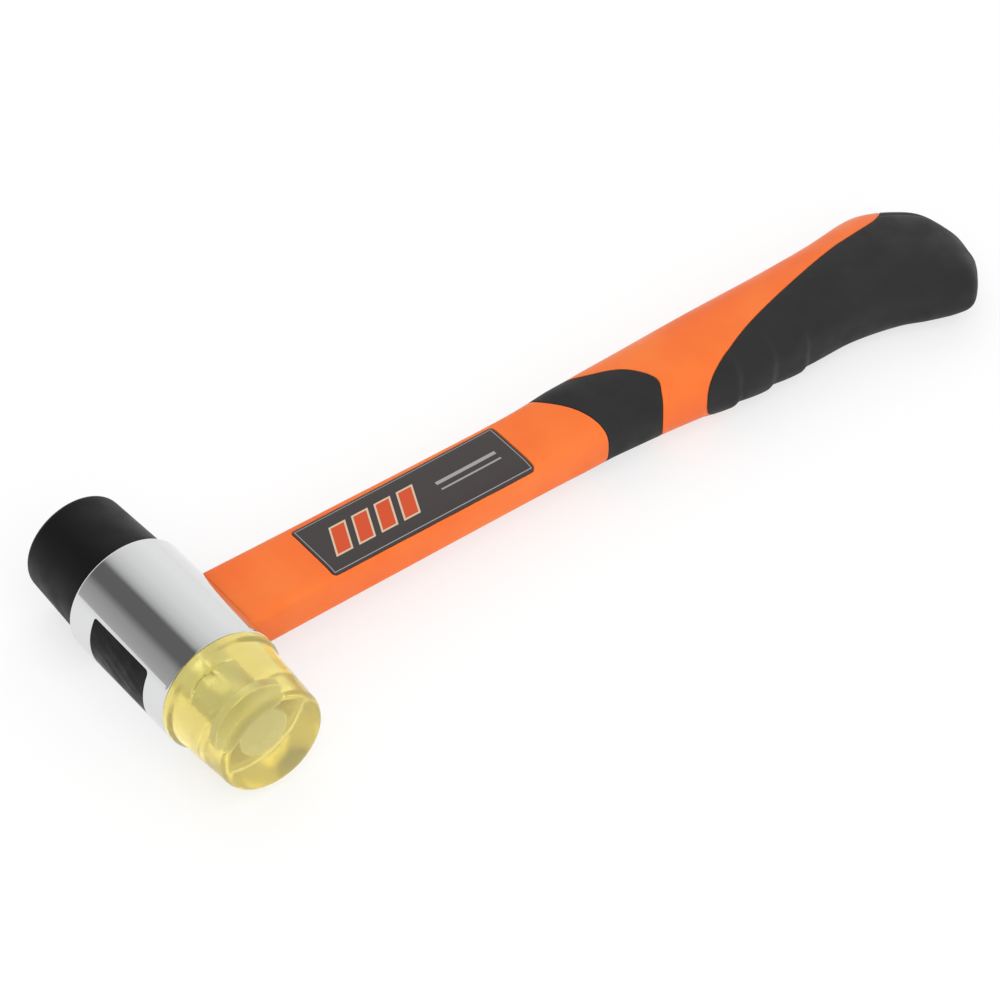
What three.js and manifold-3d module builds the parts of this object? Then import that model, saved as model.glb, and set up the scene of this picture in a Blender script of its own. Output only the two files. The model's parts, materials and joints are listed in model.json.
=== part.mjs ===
import * as THREE from 'three';
import { LoftGeometry } from 'three/addons/geometries/LoftGeometry.js';
import { mergeVertices } from 'three/addons/utils/BufferGeometryUtils.js';
import Module from 'manifold-3d';

// Two-way soft-face mallet, in millimetres. The head axis is Y and the handle runs along +X from it.

// Clearance between two pieces that meet
const FIT_GAP = 0.3;

// Chromed head barrel with its eye for the handle
const BARREL_RADIUS = 18.5;
const BARREL_LENGTH = 44.3;
const BARREL_RIM_BEVEL = 0.8;
const EYE_WIDTH = 25;
const EYE_HEIGHT = 17.4;
const EYE_CORNER = 1;
const EYE_PLUG_RECESS = 0.4;
const EYE_OFFSET = -0.4;

// Threaded studs that hold the two tips
const THREAD_RADIUS = 5;
const THREAD_LEAD_BEVEL = 0.8;
const SOCKET_FLOOR_WALL = 1.25;
const SOCKET_RUNOUT = 0.5;
const STUD_HEAD_RADIUS = 7.4;
const STUD_HEAD_HEIGHT = 3;
const STUD_DEPTH_IN_TIP = 14.5;

// Clear plastic tip
const CLEAR_TIP_LENGTH = 25.2;
const CLEAR_TIP_SETBACK = 0.2;
const CLEAR_TIP_COLLAR_HEIGHT = 2;
const CLEAR_TIP_STEP = 1;
const CLEAR_TIP_TAPER = 1.5;
const CLEAR_TIP_EDGE = 2.2;

// Black rubber tip
const RUBBER_TIP_LENGTH = 25.2;
const RUBBER_TIP_SETBACK = 1.65;
const RUBBER_TIP_TAPER = 1.25;
const RUBBER_TIP_EDGE = 1.6;

// Fibreglass core of the handle
const CORE_WIDTH = 17;
const CORE_THICKNESS = 7.4;
const CORE_CORNER = 2.4;
const CORE_TENON = 12;
const CORE_IN_HANDLE = 220;

// Handle form, measured from the head axis
const NECK_LENGTH = 118;
const SWELL_LENGTH = 22;
const GRIP_LENGTH = 93;
const BUTT_LENGTH = 42.5;
const NECK_ROOT_WIDTH = 25.2;
const NECK_WIDTH = 23.5;
const NECK_THICKNESS = 12.9;
const GRIP_WIDTH = 30;
const GRIP_THICKNESS = 24.4;
const BUTT_CORNER_REACH = 17.3;
const BUTT_HOOK_REACH = 26.4;
const BUTT_EDGE_THICKNESS = 8;
const BUTT_FLARE_LEAD = 4.5;
const SWELL_LEAN = 0.6;
const GRIP_LEAN = 0.45;
const NECK_POWER = 6;
const GRIP_POWER = 2.7;

// Finger steps along the near edge of the rear grip
const FINGER_COUNT = 3;
const FINGER_PITCH = 12.5;
const FINGER_DEPTH = 1.1;

// Soft overmoulds
const SKIN = 2.2;
const BAND_START = 127.5;
const BAND_SWEEP = 12;
const BAND_WIDTH_FAR = 13;
const BAND_WIDTH_CREST = 24;
const BAND_WIDTH_NEAR = 18;
const WAIST_LENGTH = 16;
const REAR_GRIP_CAP = 14;

// Label plate let into the neck
const LABEL_START = 45.6;
const LABEL_LENGTH = 68.6;
const LABEL_WIDTH = 20.4;
const LABEL_OFFSET = -0.8;
const LABEL_CORNER = 1.2;
const LABEL_THICKNESS = 0.6;

// Fineness of the round shapes
const ROUND_SEGMENTS = 48;
const SECTION_POINTS = 32;
const CURVE_SEGMENTS = 4;
const EDGE_STEPS = 4;

const wasm = await Module();
wasm.setup();

const { lerp } = THREE.MathUtils;

// A closed indexed surface with its faces pointing out
function closedSurface(geometry) {
  const bare = new THREE.BufferGeometry().copy(geometry);
  bare.deleteAttribute('normal');
  bare.deleteAttribute('uv');
  const merged = mergeVertices(bare, 1e-4);
  const at = merged.getAttribute('position');
  const corners = merged.getIndex().array;
  const faces = [];
  let volume = 0;
  const [a, b, c] = [new THREE.Vector3(), new THREE.Vector3(), new THREE.Vector3()];
  for (let i = 0; i < corners.length; i += 3) {
    const [p, q, r] = [corners[i], corners[i + 1], corners[i + 2]];
    if (p === q || q === r || r === p) continue;
    faces.push([p, q, r]);
    a.fromBufferAttribute(at, p);
    b.fromBufferAttribute(at, q);
    c.fromBufferAttribute(at, r);
    volume += a.dot(b.cross(c));
  }
  const outward = volume > 0 ? faces : faces.map(([p, q, r]) => [p, r, q]);
  merged.setIndex(outward.flat());
  return merged;
}

// A solid that can be joined and cut
function solidOf(geometry) {
  const surface = closedSurface(geometry);
  const vertProperties = new Float32Array(surface.getAttribute('position').array);
  const triVerts = new Uint32Array(surface.getIndex().array);
  return new wasm.Manifold(new wasm.Mesh({ numProp: 3, vertProperties, triVerts }));
}

// The surface of a joined or cut solid
function geometryOf(solid) {
  const mesh = solid.getMesh();
  const geometry = new THREE.BufferGeometry();
  geometry.setAttribute('position', new THREE.BufferAttribute(new Float32Array(mesh.vertProperties), 3));
  geometry.setIndex(new THREE.BufferAttribute(new Uint32Array(mesh.triVerts), 1));
  geometry.computeVertexNormals();
  return geometry;
}

// A turned shape about the head axis, from radius and height pairs
function turned(profile) {
  const points = profile.map(([radius, height]) => new THREE.Vector2(radius, height));
  return new THREE.LatheGeometry(points, ROUND_SEGMENTS);
}

// A rectangle with rounded corners, centred on a point
function roundedRectangle(width, height, corner, x = 0, y = 0) {
  const [w, h] = [width / 2, height / 2];
  const r = Math.min(corner, w, h);
  const shape = new THREE.Shape();
  shape.moveTo(x - w + r, y - h);
  shape.absarc(x + w - r, y - h + r, r, -Math.PI / 2, 0);
  shape.absarc(x + w - r, y + h - r, r, 0, Math.PI / 2);
  shape.absarc(x - w + r, y + h - r, r, Math.PI / 2, Math.PI);
  shape.absarc(x - w + r, y - h + r, r, Math.PI, Math.PI * 1.5);
  return shape;
}

// A bar of rounded rectangular section along X
function barAlongX(width, thickness, corner, fromX, toX) {
  const shape = roundedRectangle(thickness, width, corner);
  const bar = new THREE.ExtrudeGeometry(shape, {
    depth: toX - fromX,
    bevelEnabled: false,
    curveSegments: CURVE_SEGMENTS,
  });
  bar.rotateY(Math.PI / 2);
  bar.translate(fromX, 0, 0);
  return bar;
}

// A plan outline raised into a block between two heights
function planBlock(shape, bottom, top) {
  const block = new THREE.ExtrudeGeometry(shape, {
    depth: top - bottom,
    bevelEnabled: false,
    curveSegments: CURVE_SEGMENTS,
  });
  block.translate(0, 0, bottom);
  return solidOf(block);
}

// A barrel-shaped cutter about the head axis
function headCylinder(radius) {
  return solidOf(new THREE.CylinderGeometry(radius, radius, BARREL_LENGTH * 3, ROUND_SEGMENTS * 2));
}

// Rounded edge of a turned tip, from its side to its flat end
function roundedEdge(endRadius, length, edge) {
  const points = [];
  for (let i = 0; i <= EDGE_STEPS; i += 1) {
    const turn = (Math.PI / 2) * (i / EDGE_STEPS);
    points.push([endRadius - edge + edge * Math.cos(turn), length - edge + edge * Math.sin(turn)]);
  }
  return points;
}

// Head barrel: a turned body with a blind threaded socket at each end
const barrelEnd = BARREL_LENGTH / 2;
const socketRadius = THREAD_RADIUS + FIT_GAP;
const socketFloor = EYE_WIDTH / 2 + SOCKET_FLOOR_WALL;
const threadEnd = socketFloor + SOCKET_RUNOUT;
const barrelBody = solidOf(turned([
  [0, -socketFloor],
  [socketRadius, -socketFloor],
  [socketRadius, -barrelEnd],
  [BARREL_RADIUS - BARREL_RIM_BEVEL, -barrelEnd],
  [BARREL_RADIUS, -barrelEnd + BARREL_RIM_BEVEL],
  [BARREL_RADIUS, barrelEnd - BARREL_RIM_BEVEL],
  [BARREL_RADIUS - BARREL_RIM_BEVEL, barrelEnd],
  [socketRadius, barrelEnd],
  [socketRadius, socketFloor],
  [0, socketFloor],
]));
const beyondBarrel = BARREL_RADIUS * 2;
const eye = solidOf(barAlongX(EYE_WIDTH, EYE_HEIGHT, EYE_CORNER, -beyondBarrel, beyondBarrel));
const headBarrel = barrelBody.subtract(eye.translate([0, EYE_OFFSET, 0]));

// Core: one bar from inside the eye to inside the grip, held by the plug and the jacket
const core = barAlongX(CORE_WIDTH, CORE_THICKNESS, CORE_CORNER, -CORE_TENON, CORE_IN_HANDLE);
const coreBore = solidOf(barAlongX(
  CORE_WIDTH + FIT_GAP * 2,
  CORE_THICKNESS + FIT_GAP * 2,
  CORE_CORNER + FIT_GAP,
  -CORE_TENON - FIT_GAP,
  CORE_IN_HANDLE + FIT_GAP,
));

// Eye plug: black bonding resin that fills the eye around the core
const plugBar = solidOf(barAlongX(
  EYE_WIDTH - FIT_GAP * 2,
  EYE_HEIGHT - FIT_GAP * 2,
  EYE_CORNER - FIT_GAP,
  -beyondBarrel,
  beyondBarrel,
));
const eyePlug = plugBar.intersect(headCylinder(BARREL_RADIUS - EYE_PLUG_RECESS)).subtract(coreBore);

// Stations along the handle
const rootX = BARREL_RADIUS / 2;
const swellX = NECK_LENGTH + SWELL_LENGTH;
const gripEndX = swellX + GRIP_LENGTH;
const handleEndX = gripEndX + BUTT_LENGTH;
const bandNearX = BAND_START + BAND_SWEEP;
const rearStartX = bandNearX + BAND_WIDTH_NEAR + WAIST_LENGTH;

// Control rows of the handle: far edge, near edge and half thickness, in order towards the butt
function controlRow(farX, farY, nearX, nearY, half) {
  return { far: new THREE.Vector3(farX, farY, half), near: new THREE.Vector3(nearX, nearY, half) };
}
function levelRow(x, width, thickness, lean = 0) {
  return controlRow(x, width / 2 + lean, x, -width / 2 + lean, thickness / 2);
}
const buttX = (share) => gripEndX + BUTT_LENGTH * share;
const hookY = (share) => lerp(-GRIP_WIDTH / 2, -BUTT_HOOK_REACH, share);
const cornerY = (share) => BUTT_CORNER_REACH * share;
const swell = (share) => lerp(NECK_WIDTH, GRIP_WIDTH, share);
const depth = (share) => lerp(NECK_THICKNESS, GRIP_THICKNESS, share);
const edgeHalf = (share) => lerp(BUTT_EDGE_THICKNESS, GRIP_THICKNESS, share) / 2;
const controlRows = [
  levelRow(rootX, NECK_ROOT_WIDTH, NECK_THICKNESS),
  levelRow(lerp(rootX, NECK_LENGTH, 0.45), lerp(NECK_ROOT_WIDTH, NECK_WIDTH, 0.55), NECK_THICKNESS),
  levelRow(NECK_LENGTH, NECK_WIDTH, depth(0.09)),
  levelRow(swellX, swell(0.385), depth(0.466), SWELL_LEAN),
  levelRow(lerp(swellX, gripEndX, 0.25), swell(0.646), depth(0.652), SWELL_LEAN / 2),
  levelRow(lerp(swellX, gripEndX, 0.51), GRIP_WIDTH, depth(0.845), -GRIP_LEAN),
  levelRow(lerp(swellX, gripEndX, 0.79), GRIP_WIDTH, depth(0.968), -GRIP_LEAN),
  controlRow(gripEndX, cornerY(0.89), gripEndX - BUTT_FLARE_LEAD, hookY(0.04), edgeHalf(1)),
  controlRow(buttX(0.35), cornerY(1), buttX(0.24), hookY(0.32), edgeHalf(1)),
  controlRow(buttX(0.53), cornerY(0.98), buttX(0.44), hookY(0.68), edgeHalf(0.93)),
  controlRow(buttX(0.73), cornerY(0.74), buttX(0.62), hookY(0.965), edgeHalf(0.76)),
  controlRow(buttX(0.885), cornerY(0.39), buttX(0.735), hookY(0.99), edgeHalf(0.43)),
  controlRow(buttX(0.99), cornerY(-0.18), buttX(0.855), hookY(0.54), edgeHalf(0)),
  controlRow(handleEndX, cornerY(-0.36), buttX(0.95), hookY(0.07), edgeHalf(0) / 3),
];
const farEdge = new THREE.CatmullRomCurve3(controlRows.map((row) => row.far), false, 'catmullrom', 0.5);
const nearEdge = new THREE.CatmullRomCurve3(controlRows.map((row) => row.near), false, 'catmullrom', 0.5);
const lastRow = controlRows.length - 1;
const gripEndRow = 7;
const edgeRow = lastRow - 1;

// Row number at which the near edge reaches a station
function rowAt(x) {
  let [low, high] = [0, lastRow];
  for (let i = 0; i < 40; i += 1) {
    const middle = (low + high) / 2;
    if (nearEdge.getPoint(middle / lastRow).x < x) low = middle;
    else high = middle;
  }
  return (low + high) / 2;
}

// Finger step: swells towards the butt, then drops back
const FINGER_PHASES = [0, 0.3, 0.62, 0.86];
function fingerStep(x) {
  const phase = (x - rearStartX) / FINGER_PITCH;
  if (phase <= 0 || phase >= FINGER_COUNT) return 0;
  const part = phase % 1;
  const swellEnd = FINGER_PHASES.at(-1);
  const rising = Math.sin((part / swellEnd) * (Math.PI / 2));
  const dropping = (1 - part) / (1 - swellEnd);
  return FINGER_DEPTH * (part < swellEnd ? rising : dropping);
}

// Rows at which the handle form is drawn, in order towards the butt
function evenRows(from, to, count) {
  return Array.from({ length: count }, (_, i) => lerp(from, to, i / count));
}
const fingerEndRow = rowAt(rearStartX + FINGER_PITCH * FINGER_COUNT);
const fingerRows = Array.from({ length: FINGER_COUNT }, (_, i) => FINGER_PHASES.map((part) => (
  rowAt(rearStartX + FINGER_PITCH * (i + part))
))).flat();
const straightRows = [0, 0.5, 1, 1.5];
const swellRows = evenRows(2, gripEndRow, 15);
const buttRows = [...evenRows(gripEndRow, edgeRow, 10), edgeRow];
const innerRows = [...straightRows, ...swellRows, ...buttRows];
const besideFingers = innerRows.filter((row) => row < fingerRows[0] || row >= fingerEndRow);
const outerRows = [...besideFingers, ...fingerRows, fingerEndRow, lastRow].sort((a, b) => a - b);

// One section of the handle, drawn in by an inset: flat and boxy at the neck, rounder at the grip
function handleSection(row, inset, fingers) {
  const far = farEdge.getPoint(row / lastRow);
  const near = nearEdge.getPoint(row / lastRow);
  const middle = far.clone().add(near).multiplyScalar(0.5);
  const reach = far.clone().sub(near).multiplyScalar(0.5);
  const half = middle.z - inset;
  reach.z = 0;
  reach.setLength(reach.length() - inset);
  const endShare = Math.max(0, row - gripEndRow) / (lastRow - gripEndRow);
  const step = fingers ? fingerStep(near.x) : 0;
  const power = lerp(NECK_POWER, GRIP_POWER, THREE.MathUtils.smoothstep(row, 1.5, 3.2));
  return Array.from({ length: SECTION_POINTS }, (_, i) => {
    const turn = (i / SECTION_POINTS) * Math.PI * 2;
    const across = Math.sign(Math.cos(turn)) * Math.abs(Math.cos(turn)) ** (2 / power);
    const up = Math.sign(Math.sin(turn)) * Math.abs(Math.sin(turn)) ** (2 / power);
    const point = reach.clone().multiplyScalar(across).add(middle);
    point.x -= inset * endShare;
    point.y -= across < 0 ? step * across ** 2 : 0;
    point.z = half * up;
    return point;
  });
}

// The handle's outer form, or the same form drawn in
function handleForm(inset = 0) {
  const fingers = inset === 0;
  const sections = (fingers ? outerRows : innerRows).map((row) => handleSection(row, inset, fingers));
  return solidOf(new LoftGeometry(sections, { capStart: true, capEnd: true }));
}
const wholeForm = handleForm();

// Plan outline of the front band: a swept ring that is widest past the middle of the upper side
const planReach = BUTT_HOOK_REACH * 1.5;
function bandOutline(grow) {
  const half = NECK_WIDTH / 2;
  const front = [
    [BAND_START - grow, half * 1.2],
    [BAND_START + BAND_SWEEP * 0.26 - grow, half * 0.72],
    [BAND_START + BAND_SWEEP * 0.68 - grow, 0],
    [bandNearX - BAND_SWEEP * 0.05 - grow, half * -0.9],
    [bandNearX - grow, half * -1.18],
  ];
  const crestX = BAND_START + BAND_SWEEP * 0.82 + BAND_WIDTH_CREST;
  const back = [
    [bandNearX + BAND_WIDTH_NEAR + grow, half * -1.18],
    [lerp(bandNearX + BAND_WIDTH_NEAR, crestX, 0.6) + grow, half * -0.86],
    [crestX + grow, half * -0.43],
    [lerp(BAND_START + BAND_WIDTH_FAR, crestX, 0.75) + grow, half * 0.26],
    [lerp(BAND_START + BAND_WIDTH_FAR, crestX, 0.27) + grow, half * 0.75],
    [BAND_START + BAND_WIDTH_FAR + grow, half * 1.2],
  ];
  const shape = new THREE.Shape();
  shape.moveTo(BAND_START - grow, planReach);
  shape.lineTo(...front[0]);
  shape.splineThru(front.slice(1).map(([x, y]) => new THREE.Vector2(x, y)));
  shape.lineTo(bandNearX - grow, -planReach);
  shape.lineTo(bandNearX + BAND_WIDTH_NEAR + grow, -planReach);
  shape.lineTo(...back[0]);
  shape.splineThru(back.slice(1).map(([x, y]) => new THREE.Vector2(x, y)));
  shape.lineTo(BAND_START + BAND_WIDTH_FAR + grow, planReach);
  shape.closePath();
  return shape;
}

// Plan outline of the rear grip: it climbs slowly across the upper side and takes in the whole butt
function rearOutline(grow) {
  const half = GRIP_WIDTH / 2;
  const riseX = (share) => lerp(rearStartX, handleEndX - REAR_GRIP_CAP, share);
  const climb = [
    [riseX(0), half * -0.94],
    [riseX(0.11), half * -0.65],
    [riseX(0.275), half * -0.29],
    [riseX(0.48), half * 0.04],
    [riseX(0.71), half * 0.35],
    [riseX(0.86), half * 0.45],
    [riseX(0.94), half * 0.6],
    [riseX(1), half * 0.93],
  ];
  const lifted = climb.map(([x, y]) => [x - grow * 0.5, y + grow * 0.9]);
  const shape = new THREE.Shape();
  shape.moveTo(rearStartX - grow, -planReach);
  shape.lineTo(rearStartX - grow, half * -1.05);
  shape.splineThru(lifted.map(([x, y]) => new THREE.Vector2(x, y)));
  shape.lineTo(riseX(1) - grow, planReach);
  shape.lineTo(handleEndX + planReach, planReach);
  shape.lineTo(handleEndX + planReach, -planReach);
  shape.closePath();
  return shape;
}

// A skin of the handle form over a plan outline, and the cut that receives it
const blockTop = GRIP_THICKNESS * 2;
function skinOver(outline, thickness, bottom) {
  return wholeForm.intersect(planBlock(outline(0), bottom, blockTop)).subtract(handleForm(thickness));
}
function cutFor(outline, thickness, bottom) {
  return planBlock(outline(FIT_GAP), bottom, blockTop).subtract(handleForm(thickness + FIT_GAP));
}
const frontBand = skinOver(bandOutline, SKIN, -blockTop);
const rearGrip = skinOver(rearOutline, SKIN, -blockTop);

// Label plate: a thin plate that follows the upper side of the neck
const labelOutline = (grow) => roundedRectangle(
  LABEL_LENGTH + grow * 2,
  LABEL_WIDTH + grow * 2,
  LABEL_CORNER + grow,
  LABEL_START + LABEL_LENGTH / 2,
  LABEL_OFFSET,
);
const labelPlate = skinOver(labelOutline, LABEL_THICKNESS, 0);

// Jacket: the rest of the handle form, coped to the barrel and bored for the core
const handleJacket = wholeForm
  .subtract(cutFor(bandOutline, SKIN, -blockTop))
  .subtract(cutFor(rearOutline, SKIN, -blockTop))
  .subtract(cutFor(labelOutline, LABEL_THICKNESS, 0))
  .subtract(headCylinder(BARREL_RADIUS + FIT_GAP))
  .subtract(coreBore);

// Stud: a headed bolt moulded into its tip, with its thread in the barrel
const tipSeat = barrelEnd + FIT_GAP;
const stud = turned([
  [0, threadEnd],
  [THREAD_RADIUS - THREAD_LEAD_BEVEL, threadEnd],
  [THREAD_RADIUS, threadEnd + THREAD_LEAD_BEVEL],
  [THREAD_RADIUS, tipSeat + STUD_DEPTH_IN_TIP - STUD_HEAD_HEIGHT],
  [STUD_HEAD_RADIUS, tipSeat + STUD_DEPTH_IN_TIP - STUD_HEAD_HEIGHT],
  [STUD_HEAD_RADIUS, tipSeat + STUD_DEPTH_IN_TIP],
  [0, tipSeat + STUD_DEPTH_IN_TIP],
]);

// A tip moulded around its stud, with its seat on the barrel's end at height 0
function tip(side) {
  const chamber = [
    [0, STUD_DEPTH_IN_TIP + FIT_GAP],
    [STUD_HEAD_RADIUS + FIT_GAP, STUD_DEPTH_IN_TIP + FIT_GAP],
    [STUD_HEAD_RADIUS + FIT_GAP, STUD_DEPTH_IN_TIP - STUD_HEAD_HEIGHT - FIT_GAP],
    [THREAD_RADIUS + FIT_GAP, STUD_DEPTH_IN_TIP - STUD_HEAD_HEIGHT - FIT_GAP],
    [THREAD_RADIUS + FIT_GAP, 0],
  ];
  const length = side.at(-1)[1];
  const shape = turned([...chamber, ...side, [0, length]]);
  shape.translate(0, tipSeat, 0);
  return shape;
}
const collarRadius = BARREL_RADIUS - CLEAR_TIP_SETBACK;
const clearTip = tip([
  [collarRadius, 0],
  [collarRadius, CLEAR_TIP_COLLAR_HEIGHT],
  [collarRadius - CLEAR_TIP_STEP, CLEAR_TIP_COLLAR_HEIGHT * 2],
  ...roundedEdge(collarRadius - CLEAR_TIP_STEP - CLEAR_TIP_TAPER, CLEAR_TIP_LENGTH, CLEAR_TIP_EDGE),
]);
const rubberBaseRadius = BARREL_RADIUS - RUBBER_TIP_SETBACK;
const rubberTip = tip([
  [rubberBaseRadius, 0],
  ...roundedEdge(rubberBaseRadius - RUBBER_TIP_TAPER, RUBBER_TIP_LENGTH, RUBBER_TIP_EDGE),
]);

// Colours and finishes
function finish(color, roughness, metalness) {
  return new THREE.MeshStandardMaterial({ color, roughness, metalness });
}
const chrome = finish(0xd8dadb, 0.12, 1);
const steel = finish(0xa9abad, 0.35, 1);
const orange = finish(0xf4702d, 0.42, 0);
const softBlack = finish(0x343434, 0.7, 0);
const tipRubber = finish(0x1f1f20, 0.6, 0);
const resin = finish(0x222222, 0.55, 0);
const labelFilm = finish(0x464242, 0.35, 0);
const fibreglass = finish(0xd9c98f, 0.5, 0);
const clearYellow = finish(0xe4d95c, 0.1, 0);
clearYellow.transparent = true;
clearYellow.opacity = 0.7;

function piece(name, geometry, material) {
  const mesh = new THREE.Mesh(closedSurface(geometry), material);
  mesh.geometry.computeVertexNormals();
  mesh.name = name;
  return mesh;
}

// Assembly: both tips lie along the head axis, the clear one turned to the near side,
// and the handle stands in the eye, a little off the barrel's middle
const nearEnd = new THREE.Group();
nearEnd.rotation.z = Math.PI;
nearEnd.add(piece('clear_tip_stud', stud.clone(), steel), piece('clear_tip', clearTip, clearYellow));
const farEnd = new THREE.Group();
farEnd.add(piece('rubber_tip_stud', stud.clone(), steel), piece('rubber_tip', rubberTip, tipRubber));
const gripMesh = piece('rear_grip', geometryOf(rearGrip), softBlack);
const handle = new THREE.Group();
handle.position.y = EYE_OFFSET;
handle.add(
  piece('eye_plug', geometryOf(eyePlug), resin),
  piece('handle_core', core, fibreglass),
  piece('handle_jacket', geometryOf(handleJacket), orange),
  piece('front_band', geometryOf(frontBand), softBlack),
  gripMesh,
  piece('label_plate', geometryOf(labelPlate), labelFilm),
);
const mallet = new THREE.Group();
mallet.add(piece('head_barrel', geometryOf(headBarrel), chrome), handle, nearEnd, farEnd);

// Pitch at which the handle tips down until the grip touches the surface that the barrel lies on
function restPitch(geometry) {
  const at = geometry.getAttribute('position');
  let pitch = Math.PI / 4;
  for (let i = 0; i < at.count; i += 1) {
    const reach = Math.hypot(at.getX(i), at.getZ(i));
    pitch = Math.min(pitch, Math.atan2(at.getZ(i), at.getX(i)) + Math.asin(BARREL_RADIUS / reach));
  }
  return pitch;
}
mallet.rotation.y = restPitch(gripMesh.geometry);

// The mallet lies on its side, centred over the origin
const box = new THREE.Box3().setFromObject(mallet, true);
const middle = box.getCenter(new THREE.Vector3());
mallet.position.set(-middle.x, -middle.y, -box.min.z);

const assembly = new THREE.Group();
assembly.add(mallet);

export default assembly;
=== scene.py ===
"""A two-way soft-face mallet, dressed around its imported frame.

Sizes are millimetres in the mallet's own frame: the head axis is Y, the handle runs along +X from it
and the two axes cross at the origin. Every mesh is then placed in the row frame, in metres.
"""

import json
import logging
import math
from collections.abc import Sequence
from dataclasses import dataclass, field
from enum import Enum
from functools import cached_property

import bmesh
import bpy
import numpy as np
from mathutils import Matrix, Vector


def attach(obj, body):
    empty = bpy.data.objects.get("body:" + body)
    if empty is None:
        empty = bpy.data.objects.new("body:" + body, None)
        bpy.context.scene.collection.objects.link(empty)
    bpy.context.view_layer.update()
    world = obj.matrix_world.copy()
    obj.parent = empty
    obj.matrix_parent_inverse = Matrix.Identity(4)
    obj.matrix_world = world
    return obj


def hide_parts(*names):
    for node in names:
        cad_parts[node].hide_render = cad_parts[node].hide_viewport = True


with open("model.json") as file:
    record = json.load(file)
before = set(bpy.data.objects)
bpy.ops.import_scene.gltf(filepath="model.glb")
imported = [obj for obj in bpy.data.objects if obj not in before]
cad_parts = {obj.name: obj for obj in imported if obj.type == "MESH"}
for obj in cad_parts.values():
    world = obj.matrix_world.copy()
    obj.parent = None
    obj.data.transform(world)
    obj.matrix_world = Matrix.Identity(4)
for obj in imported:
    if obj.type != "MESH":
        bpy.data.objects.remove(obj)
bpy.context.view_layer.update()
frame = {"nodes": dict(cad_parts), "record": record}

METRES = 0.001
FULL_TURN = 2.0 * math.pi
RIGHT_ANGLE = math.pi / 2.0

# Sizes that the head and the handle share, with the eye's place along the head axis
BARREL_RADIUS = 18.5
CORE_BORE_WIDTH = 17.6
CORE_BORE_THICKNESS = 8.0
EYE_OFFSET = -0.4

# Fineness of the meshes
EDGE_STEPS = 7
LINES_ROUND = 160
JACKET_LINES = 128
GRIP_RINGS = 261
CURVE_POINTS = 600
ROW_SAMPLES = 1401
SEARCH_STEPS = 36

# Colour sockets of the Mix node
MIX_INPUTS = (0, 6, 7)
MIX_OUTPUT = 2

LOG = logging.getLogger("mallet")


class Body(Enum):
    """Bodies of the frame that pieces ride on."""

    MALLET = "mallet"
    CLEAR_STUD = "clear_stud"
    CLEAR_FACE = "clear_face"
    RUBBER_STUD = "rubber_stud"
    RUBBER_FACE = "rubber_face"


class End(Enum):
    """Which way along the head axis a tip points."""

    NEAR = -1.0
    FAR = 1.0


@dataclass(frozen=True)
class Lie:
    """How the mallet lies on the floor: the place of its own frame in the row frame.

    Attributes:
        pitch: angle by which the handle tips down from the head, in radians.
        head: where the head's middle is in the row frame, in metres.
    """

    pitch: float = math.radians(1.471195)
    head: tuple[float, float, float] = (
        frame["record"]["mounts"][0]["pos_m"][0],
        0.0,
        frame["record"]["mounts"][0]["pos_m"][2],
    )

    def place(self, points: np.ndarray) -> np.ndarray:
        """Turns points of the mallet's own frame into the row frame.

        Args:
            points: an array of points in millimetres.

        Returns:
            The same points in metres, in the row frame.
        """
        cos, sin = math.cos(self.pitch), math.sin(self.pitch)
        x = points[:, 0] * cos + points[:, 2] * sin
        z = points[:, 2] * cos - points[:, 0] * sin
        return np.column_stack([x, points[:, 1], z]) * METRES + np.array(self.head)


LIE = Lie()


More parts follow.
